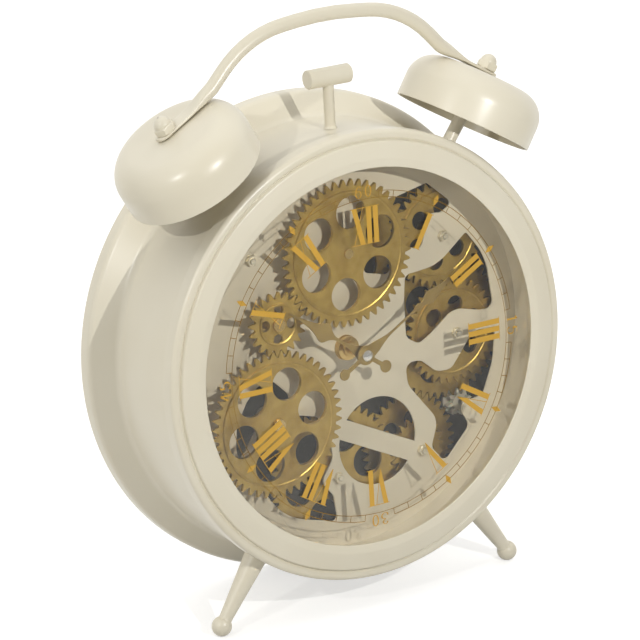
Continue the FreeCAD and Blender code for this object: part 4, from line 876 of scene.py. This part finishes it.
def stand_flat(mesh, place):
    """Cuts a mesh off where its place takes it below the table."""
    world = CLOCK @ place
    inverse = world.inverted()
    build = bmesh.new()
    build.from_mesh(mesh)
    cut = bmesh.ops.bisect_plane(
        build, geom=build.verts[:] + build.edges[:] + build.faces[:], dist=1e-7,
        plane_co=inverse.translation, plane_no=inverse.to_3x3() @ Vector((0, 0, -1)),
        clear_outer=True)
    rim = [item for item in cut["geom_cut"] if isinstance(item, bmesh.types.BMEdge)]
    bmesh.ops.contextual_create(build, geom=rim)
    build.to_mesh(mesh)
    build.free()


for side_name, side in SIDES:
    x, z = round_the_clock(180 - side * LEG_ANGLE, 1.0)
    outward = Vector((x, 0, z)).to_track_quat("Y", "Z").to_matrix().to_4x4()
    leg_place = at(0, LEG_DEPTH, 0) @ outward
    leg_mesh = make_leg()
    stand_flat(leg_mesh, leg_place)
    set_enamelled("turned_leg_" + side_name, leg_mesh, leg_place, "leg_" + side_name)
print("legs", LEG_ANGLE, "degrees from straight down")

# %% [markdown]
# ## Dial plate
#
# The dial is sheet stamped with five large windows and painted on both sides. Its
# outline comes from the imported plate. The paint rounds the edges, so the break is a
# little wider than a bare stamping's.

# %% Dial plate and its nuts
DIAL_FRONT, DIAL_BACK = depths("dial_plate")
dial_mesh = stamped(
    flat_outlines("dial_plate", DIAL_FRONT, True), DIAL_FRONT, DIAL_BACK, edge=0.2)
set_piece("windowed_dial", dial_mesh, HERE, dial_paint, "case", "dial_paint", "dial_plate")

SMALL_FLATS = 6.0
STUD_END = [(2.1, 3.0), (1.65, 2.6), (1.5, 2.6), (1.5, 3.5), (1.25, 3.8), (0.0, 3.8)]
PILLAR = (-62.2, 65.2)  # the pin at the upper left, which carries no gear
TO_FRONT = Matrix.Rotation(math.pi, 4, "Z")


def pivot(joint):
    """The x and z, in mm, of the axis that a joint turns about."""
    place = UPRIGHT @ Vector(joints[joint]["pos_m"]) / MM
    return place.x, place.z


def make_small_nut(x, z):
    """An M3 nut on the dial, with the end of its stud standing out of it."""
    nut = turned(hexagon_profile(SMALL_FLATS, 3.0, 0.0) + STUD_END, 72, SMALL_FLATS)
    nut.transform(at(x, DIAL_FRONT, z) @ TO_FRONT)
    return nut


nut_centres = [pivot(name) for name in (
    "upper_right_gear_turn", "right_gears_turn", "lower_right_gears_turn", "lower_gear_turn")]
nut_centres.append(PILLAR)
nuts = joined([make_small_nut(x, z) for x, z in nut_centres])
set_piece("hexagon_nuts", nuts, HERE, nickel_and_dial_reflection, "case", "steel", "dial_nuts")
print("dial windows and nuts", len(nut_centres))

# %% [markdown]
# ## Gears
#
# Each gear is a stamped toothed plate on a turned hub, and half of them have a raised
# disc in front of the teeth. A tooth's flank is part of an involute, which bulges a
# little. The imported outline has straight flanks, so each gets points in between, pushed
# out by up to 0.16 mm. A rolled bead round the raised disc draws a bright ring inside
# the teeth.

# %% Gears
GEAR_THICK = 2.2
HUB = 5.5
FLANK_BULGE = 0.16
FLANK_STEPS = 4
PIN_BORE = 2.56
ARBOR_BORE = 3.0


def curved_flanks(outline):
    """Puts a bulge on every edge of a gear's outline that runs from root to tip."""
    points = []
    for here, after in zip(outline, outline[1:] + outline[:1]):
        points.append(here)
        first, last = Vector(here), Vector(after)
        if abs(last.length - first.length) < 1.0:
            continue
        middle = (first + last) / 2
        sideways = Vector((middle.y, -middle.x)).normalized()
        root, tip = sorted((first, last), key=lambda point: point.length)
        outward = math.copysign(1.0, sideways.dot(root - tip))
        for step in range(1, FLANK_STEPS):
            share = step / FLANK_STEPS
            bulge = 4 * share * (1 - share) * FLANK_BULGE * outward
            points.append(tuple(first.lerp(last, share) + sideways * bulge))
    return points


def tidy_circle(outline, points=80):
    """A coarse round outline as a fine one; any other outline as it is."""
    middle = sum((Vector(point) for point in outline), Vector((0, 0))) / len(outline)
    reaches = [(Vector(point) - middle).length for point in outline]
    reach = max(reaches)
    if reach - min(reaches) > 0.02:
        return outline
    turns = [math.tau * step / points for step in range(points)]
    return on_circle(middle.x, middle.y, reach, turns)


def make_gear(node, centre, teeth_front, raised_front):
    """Toothed plate, raised disc and hub of one gear, about its own arbor."""
    def lengths(outlines):
        return [Vector(point).length for outline in outlines for point in outline]

    teeth_back = teeth_front + GEAR_THICK
    toothed = [tidy_circle(curved_flanks(outline))
               for outline in flat_outlines(node, teeth_back, False, centre)]
    parts = [stamped(toothed, teeth_front, teeth_back)]
    if raised_front is not None:
        raised = [tidy_circle(o) for o in flat_outlines(node, raised_front, True, centre)]
        parts.append(stamped(raised, raised_front, teeth_front + 0.1, edge=0.1))
        disc = max(lengths(raised))
        low, high = raised_front + 0.05, raised_front - 0.3
        parts.append(turned([
            (disc - 1.75, low), (disc - 1.0, high, 0.2), (disc - 0.35, high, 0.15),
            (disc - 0.3, low)], 180))
    front, back = depths(node)
    bore = min(min(lengths(toothed)) - 0.02, ARBOR_BORE if "top" in node else PIN_BORE)
    parts.append(turned([
        (bore, front + 0.08), (HUB, front + 0.08, 0.4), (HUB, back, 0.4), (bore, back)], 72))
    mesh = joined(parts)
    mesh.transform(at(0, -teeth_front, 0))
    return mesh


FRONT_TEETH, NEAR_TEETH, FAR_TEETH = 19.0, 34.5, 44.0
STEP = 0.5
GEARS = [
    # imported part, body, front of the teeth, front of the raised disc
    ("top_gear", "top_gears", FRONT_TEETH, FRONT_TEETH - STEP),
    ("small_gear", "small_gear", FRONT_TEETH, FRONT_TEETH - STEP),
    ("low_gear", "low_gear", FRONT_TEETH, FRONT_TEETH - STEP),
    ("upper_right_gear", "upper_right_gear", NEAR_TEETH, NEAR_TEETH - STEP),
    ("right_near_gear", "right_gears", NEAR_TEETH, NEAR_TEETH - STEP),
    ("right_far_gear", "right_gears", FAR_TEETH, None),
    ("lower_right_near_gear", "lower_right_gears", NEAR_TEETH, None),
    ("lower_right_far_gear", "lower_right_gears", FAR_TEETH, None),
    ("lower_gear", "lower_gear", NEAR_TEETH, None),
    ("top_rear_gear", "top_gears", NEAR_TEETH, None)]
for node, body, teeth_front, raised_front in GEARS:
    x, z = pivot(body + "_turn")
    wheel = make_gear(node, (x, z), teeth_front, raised_front)
    set_piece(node.replace("gear", "wheel"), wheel, at(x, teeth_front, z), gear_brass, body,
              "gold_gear", node)
    print(node, "about", round(x, 1), round(z, 1))

# %% [markdown]
# ## Hands, collar and cap
#
# Each hand is one stamped leaf of thin brass. Its outline is written as half widths
# along the hand, the same on both sides: a disc at the tail, a thin neck, a round hub,
# and a blade that narrows and then swells to a spade. The collar is turned brass with a
# step. A chromed cap closes the end of the minute shaft.

# %% Hands
HAND_THICK = 0.8
TAIL_MIDDLE = -18.0
NECK = 1.35  # half width of the neck
HUB_END = math.radians(44)  # where the hub's edge meets the blade, from the hand's line
MINUTE_BLADE = [
    (8.9, 3.4), (12.0, 2.4), (15.5, 1.5), (19.5, 0.85), (25, 0.65), (36, 0.75), (41, 1.1),
    (44.3, 2.3), (47.2, 1.3), (50.5, 2.9), (54, 4.3), (60, 2.5), (68, 1.2), (86, 0.2)]
HOUR_BLADE = [
    (9, 2.2), (14, 1.2), (20.8, 0.9), (24.8, 1.4), (27.8, 3.0), (29.8, 4.9), (31.6, 6.0),
    (34, 5.6), (37, 4.2), (41, 2.7), (45, 1.8), (50, 1.2), (61, 0.2)]
HANDS = [
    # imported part, front, blade, radii of tail, hub and bore, degrees from the top
    ("minute_hand", MINUTE_FRONT, MINUTE_BLADE, 3.4, 6.0, 1.5, 60),
    ("hour_hand", 9.0, HOUR_BLADE, 3.8, 5.4, 2.6, 305)]


def arc(middle, radius, first, last, steps=16):
    """Points of an arc as distance along the hand and half width, by angles in radians."""
    turns = [first + (last - first) * step / steps for step in range(steps + 1)]
    return on_circle(middle, 0.0, radius, turns)


def hand_outlines(blade, tail, hub, bore, angle):
    """Outline and bore of a hand that points to an angle in degrees."""
    half = arc(TAIL_MIDDLE, tail, math.pi, math.asin(NECK / tail))
    half += arc(0.0, hub, math.pi - math.asin(NECK / hub), HUB_END)
    half += [tuple(p) for p in smoothed(blade)]
    turn = math.radians(angle)
    placed = [(along * math.sin(turn) + side * wide * math.cos(turn),
               along * math.cos(turn) - side * wide * math.sin(turn))
              for side, points in ((1, half), (-1, half[:0:-1])) for along, wide in points]
    return [placed, arc(0.0, bore, 0.0, -math.tau, 48)[:-1]]


for node, front, *outline in HANDS:
    leaf = stamped(hand_outlines(*outline), front, front + HAND_THICK, edge=0.15)
    set_piece(node.replace("hand", "leaf"), leaf, HERE, hand_brass, node, "gold_hands", node)

# %% Collar and cap
COLLAR_PROFILE = [
    (2.65, 23.8), (4.3, 23.8, 0.5), (4.6, 25.4, 0.4), (7.2, 25.8, 0.5), (7.2, 28.7, 0.3),
    (7.6, 29.0, 0.2), (7.6, 30.0), (2.65, 30.0)]
CAP_PROFILE = [
    (0.0, 3.2), (1.9, 3.5, 1.6), (3.7, 5.0, 1.8), (3.7, 6.6, 0.2), (1.5, 6.6), (1.5, 6.2),
    (0.0, 6.2)]
set_piece("stepped_collar", turned(COLLAR_PROFILE), HERE, turned_brass, "case", "brass_turned",
          "hand_collar")
set_piece("domed_cap", turned(CAP_PROFILE), HERE, chrome, "minute_hand", "silver_chrome",
          "hand_cap")
print("hands at ten past ten")

# %% [markdown]
# ## Print on the glass
#
# Twelve Roman numerals stand on the glass with their tops outwards. A Roman letter has
# thick strokes and thin ones, and a hairline closes its ends. The strokes are drawn as
# flat polygons in a straight strip and turned to their hour. The minute track is two
# circles with ticks between the fives. Its outer circle is open at the quarters, where
# the minutes stand in figures, and a diamond marks each other hour.

# %% Print helpers
INK = 0.02  # mm of ink on the front of the glass
NUMERAL_FOOT = 69.4
NUMERAL_TOP = 91.0
STROKE = 3.35
HAIR = 0.42
LETTER_GAP = 1.35
LETTERS = {"I": STROKE, "V": 8.5, "X": 8.7}
SERIF = 1.0  # how far a hairline stands out past the strokes
drawn = []


def strip(points, angle):
    """Adds a polygon of (across, radius) points, turned to its angle on the dial."""
    turn = math.radians(angle)
    drawn.append([(across * math.cos(turn) + radius * math.sin(turn),
                   radius * math.cos(turn) - across * math.sin(turn)) for across, radius in points])


def block(left, right, low, high, angle):
    """Adds a rectangle between two sides and two radii."""
    strip([(left, low), (right, low), (right, high), (left, high)], angle)


def set_print(name, ink):
    """Lays all that was drawn on the glass as one flat layer of ink."""
    build = bmesh.new()
    for polygon in drawn:
        for depth, order in ((-INK * 2, 1), (-INK, -1)):
            corners = [build.verts.new((x * MM, depth * MM, z * MM)) for x, z in polygon]
            build.faces.new(corners[::order])
    set_piece(name, finished(build, "ink"), HERE, ink, "case", "gold_hands")
    print(name, "polygons", len(drawn))
    drawn.clear()


# %% Roman numerals
def draw_letter(letter, left, angle, mirrored):
    """Strokes of one letter from its left edge; a mirrored V is thick on the right."""
    width = LETTERS[letter]

    def stroke(*corners):
        strip([(left + (width - across if mirrored else across),
                NUMERAL_TOP - down * (NUMERAL_TOP - NUMERAL_FOOT)) for across, down in corners],
              angle)

    if letter == "I":
        stroke((0, 0), (STROKE, 0), (STROKE, 1), (0, 1))
    elif letter == "V":
        foot = width * 0.53
        stroke((0, 0), (STROKE, 0), (foot + 1.15, 0.62), (foot + 0.25, 1), (foot - 0.25, 1))
        stroke((width - HAIR, 0), (width, 0), (foot + 0.25, 1), (foot - 0.15, 1))
    else:
        inset = 0.9  # of the thin stroke's ends
        stroke((0, 0), (STROKE, 0), (width, 1), (width - STROKE, 1))
        stroke((width - inset - HAIR, 0), (width - inset, 0), (inset + HAIR, 1), (inset, 1))


def draw_numeral(numeral, angle):
    """A whole numeral, centred on its hour, with the hairlines at its ends."""
    whole = sum(LETTERS[letter] for letter in numeral) + LETTER_GAP * (len(numeral) - 1)
    left = -whole / 2
    block(left - SERIF, left + whole + SERIF, NUMERAL_TOP, NUMERAL_TOP + HAIR, angle)
    feet = []
    for letter in numeral:
        draw_letter(letter, left, angle, mirrored=numeral == "IV" and letter == "V")
        if letter != "V":
            feet.append((left - SERIF, left + LETTERS[letter] + SERIF))
        left += LETTERS[letter] + LETTER_GAP
    for first, last in feet:
        block(first, last, NUMERAL_FOOT - HAIR, NUMERAL_FOOT, angle)


NUMERALS = ["XII", "I", "II", "III", "IV", "V", "VI", "VII", "VIII", "IX", "X", "XI"]
for hour, numeral in enumerate(NUMERALS):
    draw_numeral(numeral, hour * 30)
set_print("roman_numerals", gold_ink)

# %% Minute track and diamonds
TRACK_IN = 96.0
TRACK_OUT = 99.9
LINE = 0.42
DIAMOND_HALF = (1.75, 3.8)

for minute in range(60):
    if minute % 5:
        block(-LINE / 2, LINE / 2, TRACK_IN, TRACK_OUT, minute * 6)
    for radius in (TRACK_IN,) if minute % 15 in (14, 0) else (TRACK_IN, TRACK_OUT):
        for part in range(3):
            first, last = math.radians(part * 2), math.radians(part * 2 + 2)
            strip([(reach * math.sin(turn), reach * math.cos(turn)) for turn, reach in (
                (first, radius), (last, radius), (last, radius + LINE), (first, radius + LINE))],
                minute * 6)
set_print("minute_track", line_ink)

wide, high = DIAMOND_HALF
for hour in range(12):
    if hour % 3:
        strip([(0, TRACK_OUT - high), (wide, TRACK_OUT), (0, TRACK_OUT + high),
               (-wide, TRACK_OUT)], hour * 30)
set_print("hour_diamonds", gold_ink)

# %% [markdown]
# The figures have thick and thin strokes too, as a broad nib writes them, so each is
# only the path of the nib. The nib is a short level edge: it draws thick where the
# path goes down and thin where it goes across. A path of more than two points is
# smoothed by a Catmull-Rom spline, which passes through all its points.

# %% Minute figures
NIB_WIDE = 1.0
NIB_THIN = 0.3
FIGURE_FOOT = 97.0
FIGURE_STEP = 6.9  # mm from one figure's left edge to the next
# Paths in mm from a figure's lower left corner. A path of two points is a straight stroke.
FIGURES = {
    "0": [[(2.4, 7.2), (1.0, 6.0), (0.6, 3.75), (1.0, 1.5), (2.4, 0.3), (3.8, 1.5), (4.2, 3.75),
           (3.8, 6.0), (2.4, 7.2)]],
    "1": [[(0.9, 6.0), (2.4, 7.3)], [(2.4, 7.3), (2.4, 0.2)], [(1.2, 0.2), (3.6, 0.2)]],
    "3": [[(0.9, 5.8), (1.2, 6.8), (2.6, 7.3), (3.9, 6.3), (3.6, 4.9), (2.0, 4.1)],
          [(2.0, 4.1), (4.0, 3.6), (4.9, 2.2), (4.1, 0.7), (2.3, 0.1), (0.8, 0.7), (0.7, 1.9)]],
    "4": [[(3.5, 7.3), (0.4, 2.2)], [(0.4, 2.2), (5.0, 2.2)], [(3.5, 7.3), (3.5, 0.1)]],
    "5": [[(1.2, 7.2), (4.2, 7.0)], [(1.2, 7.2), (0.9, 4.0)],
          [(0.9, 4.0), (2.4, 4.7), (4.1, 4.0), (4.5, 2.4), (3.8, 0.8), (2.2, 0.1), (0.8, 0.6),
           (0.6, 1.6)]],
    "6": [[(4.2, 6.4), (3.2, 7.2), (1.6, 6.2), (0.7, 3.6), (1.0, 1.4), (2.4, 0.2), (4.0, 1.0),
           (4.4, 2.5), (3.6, 4.0), (2.3, 4.4), (0.9, 3.4)]]}


def write_figure(figure, left, angle):
    """The strokes of one figure, as quads between two places of the nib."""
    for path in FIGURES[figure]:
        line = smoothed(path) if len(path) > 2 else [Vector(point) for point in path]
        for here, after in zip(line, line[1:]):
            along = (after - here).normalized()
            half = (NIB_THIN + (NIB_WIDE - NIB_THIN) * abs(along.y) ** 1.5) / 2
            side = Vector((along.y, -along.x)) * half
            strip([(left + corner.x, FIGURE_FOOT + corner.y) for corner in (
                here - side, after - side, after + side, here + side)], angle)


for angle, figures in ((0, "60"), (90, "15"), (180, "30"), (270, "45")):
    for place, figure in enumerate(figures):
        write_figure(figure, FIGURE_STEP * (place - 1) + 0.6, angle)
set_print("minute_figures", gold_ink)

# %% [markdown]
# ## Parts kept as packed
#
# The rest of the clock, such as the movement, motor, battery box, pins and screws, is
# already right as packed. Those parts stay and only get their finish.

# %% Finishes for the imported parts
KEPT = [
    (enamel, "bell_post_left bell_post_right"),
    (glass, "crystal"),
    (rubber, "crystal_gasket"),
    (black_paint, "rear_plate back_cover cover_brackets"),
    (turned_brass, "small_gear_stud low_gear_stud top_arbor dial_bush rear_bush hour_tube"),
    (steel, "gear_pins minute_shaft motor_shaft motor_screws movement_nut cover_screws"
            " battery_contacts leg_nuts"),
    (nylon, "motor_pinion gear_motor"),
    (abs_black, "movement_case setting_knob battery_box battery_door switch_housing"
                " switch_slider"),
    (cell_film, "movement_cell motor_cells")]
kept = []
for material, names in KEPT:
    for name in names.split():
        data = frame["nodes"][name].data
        data.materials.clear()
        data.materials.append(material)
        kept.append(name)
left_over = [name for name, node in frame["nodes"].items()
             if name not in kept and not node.hide_render]
print("kept", len(kept), "without a finish", left_over)

# %% [markdown]
# ## Table, light and camera
#
# The table is pale and plain, and the studio is a white tent open in front, so most of
# the soft light comes from beside, above and behind. Seen directly the table and the
# tent are white, and in gloss, metal and glass nearly so, while the light that they
# give stays moderate. The Light Path node tells the cases apart, and its Diffuse Depth
# keeps light that was scattered inside the clock from counting as seen. A tiny lamp
# above the front gives the firm shadows inside the clock, and a second, far to the
# left, lights the side of the drum.

# %% Table and room
TENT_LIGHT = 0.92  # soft light from beside and behind, where 1 shows a colour as written
FRONT_LIGHT = 0.05
FRONT_GLOSS = 0.4
LIGHT_FROM_LOW, LIGHT_FROM_HIGH = 0.6, 1.8
OPENING_STARTS, OPENING_FULL = 0.0, 0.5  # how squarely a direction faces the front


def seen_directly(tree):
    """1 where the eye looks straight at a surface or sees it in gloss or glass."""
    path = add_node(tree, "LightPath", {}).outputs
    by_eye = path["Is Camera Ray"]
    total = reckon(tree, "MAXIMUM", by_eye, path["Is Glossy Ray"])
    total = reckon(tree, "MAXIMUM", total, path["Is Transmission Ray"])
    unscattered = reckon(tree, "LESS_THAN", path["Diffuse Depth"], 0.5)
    return reckon(tree, "MULTIPLY", total, unscattered), by_eye


def make_room():
    """The tent's light by direction, and the white that is seen."""
    world = bpy.data.worlds.new("studio")
    world.use_nodes = True
    bpy.context.scene.world = world
    room = world.node_tree
    places = add_node(room, "TexCoord", {}).outputs["Generated"]
    direction = add_node(room, "SeparateXYZ", {"Vector": places}).outputs
    facing = reckon(room, "MULTIPLY", direction["Y"], -1.0)
    light, gloss = [
        stretch(room, facing, OPENING_STARTS, OPENING_FULL, beside, front,
                interpolation_type="SMOOTHSTEP")
        for beside, front in ((TENT_LIGHT, FRONT_LIGHT), (1.0, FRONT_GLOSS))]
    lift = stretch(room, direction["Z"], 0.0, 1.0, LIGHT_FROM_LOW, LIGHT_FROM_HIGH)
    soft, mirrored, white = [
        add_node(room, "Background", {"Color": (1, 1, 1, 1), "Strength": strength}).outputs[0]
        for strength in (reckon(room, "MULTIPLY", light, lift), gloss, 1.0)]
    seen, by_eye = seen_directly(room)
    inside = add_node(room, "MixShader", {0: seen, 1: soft, 2: mirrored}).outputs[0]
    outside = add_node(room, "MixShader", {0: by_eye, 1: inside, 2: white})
    room.links.new(outside.outputs[0], room.nodes["World Output"].inputs["Surface"])


make_room()

TABLE_GLOW = 0.6
TABLE_HALF = 3.0
GLOW_NEAR, GLOW_FAR = 0.0, 0.4  # m in front of the clock where the glow seen in metal fades


def make_table():
    """A pale table top that is white to the eye except in the clock's shadow."""
    build = bmesh.new()
    bmesh.ops.create_grid(build, x_segments=4, y_segments=4, size=TABLE_HALF)
    mesh = finished(build, "table_top")
    material, tree, shader = start_material("white_laminate", "#C6C5C2", 0.6)
    places = add_node(tree, "SeparateXYZ", {"Vector": object_places(tree)}).outputs
    fade = stretch(tree, places["Y"], -GLOW_FAR, -GLOW_NEAR, 0.0, TABLE_GLOW)
    seen, by_eye = seen_directly(tree)
    mirrored = reckon(tree, "MULTIPLY", seen, fade)
    direct = reckon(tree, "MULTIPLY", by_eye, TABLE_GLOW)
    strength = reckon(tree, "MAXIMUM", mirrored, direct)
    glow = add_node(tree, "Emission", {"Color": (1, 1, 1, 1), "Strength": strength})
    lit = add_node(tree, "AddShader", {0: shader.outputs[0], 1: glow.outputs[0]})
    tree.links.new(lit.outputs[0], tree.nodes["Material Output"].inputs["Surface"])
    mesh.materials.append(material)
    new_object("table_top", mesh)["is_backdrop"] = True


make_table()
print("tent light", TENT_LIGHT, "from the front", FRONT_LIGHT)

# %% Lamps
LAMPS = [
    # name, watts, width in m, degrees to the right, degrees above, distance in m
    ("key", 3.55, 0.006, 3.0, 23.0, 0.8),
    ("second", 4.4, 0.03, -65.0, 27.0, 1.5)]


def towards(right, above):
    """The direction from the clock to a place, by its angles in degrees."""
    aim, rise = math.radians(right), math.radians(above)
    return Vector((math.sin(aim) * math.cos(rise), -math.cos(aim) * math.cos(rise),
                   math.sin(rise)))


for name, watts, width, right, above, distance in LAMPS:
    lamp = bpy.data.lights.new(name, "AREA")
    lamp.shape = "DISK"
    lamp.size = width
    lamp.energy = watts
    back = towards(right, above)
    turned_to = back.to_track_quat("Z", "Y").to_matrix().to_4x4()
    new_object(name, lamp).matrix_world = CLOCK @ Matrix.Translation(back * distance) @ turned_to
print("lamps", [lamp[0] for lamp in LAMPS])

# %% Camera
# Azimuth, elevation and roll in degrees, distance and target in mm, round the upright clock.
AZIMUTH, ELEVATION, ROLL = -31.594, 16.028, -3.0456
DISTANCE = 2338.22
TARGET = (-34.4055, 0.0, 29.7605)
SENSOR = 36.0
PHOTO_WIDTH = 640
FOCUS_PIXELS = 4019.33  # focal length in pixels of the photograph


def make_camera():
    """The photograph's eye."""
    back = towards(AZIMUTH, ELEVATION)
    right = (-back).cross(Vector((0, 0, 1))).normalized()
    level = Matrix((right, back.cross(right), back)).transposed().to_4x4()
    roll = Matrix.Rotation(math.radians(ROLL), 4, "Z")
    data = bpy.data.cameras.new("photograph")
    data.sensor_width = SENSOR
    data.lens = FOCUS_PIXELS * SENSOR / PHOTO_WIDTH
    data.clip_start, data.clip_end = 0.1, 50.0
    camera = new_object("photograph", data)
    stand = Vector(TARGET) * MM + back * DISTANCE * MM
    camera.matrix_world = CLOCK @ Matrix.Translation(stand) @ level @ roll
    bpy.context.scene.camera = camera
    return camera


camera = make_camera()
bpy.context.scene.view_settings.view_transform = "Standard"
print("lens", round(camera.data.lens, 1), "mm")

# %% [markdown]
# ## Sizes
#
# The box round all the visible pieces, leaving out the table, is found.

# %% Sizes
low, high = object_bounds()
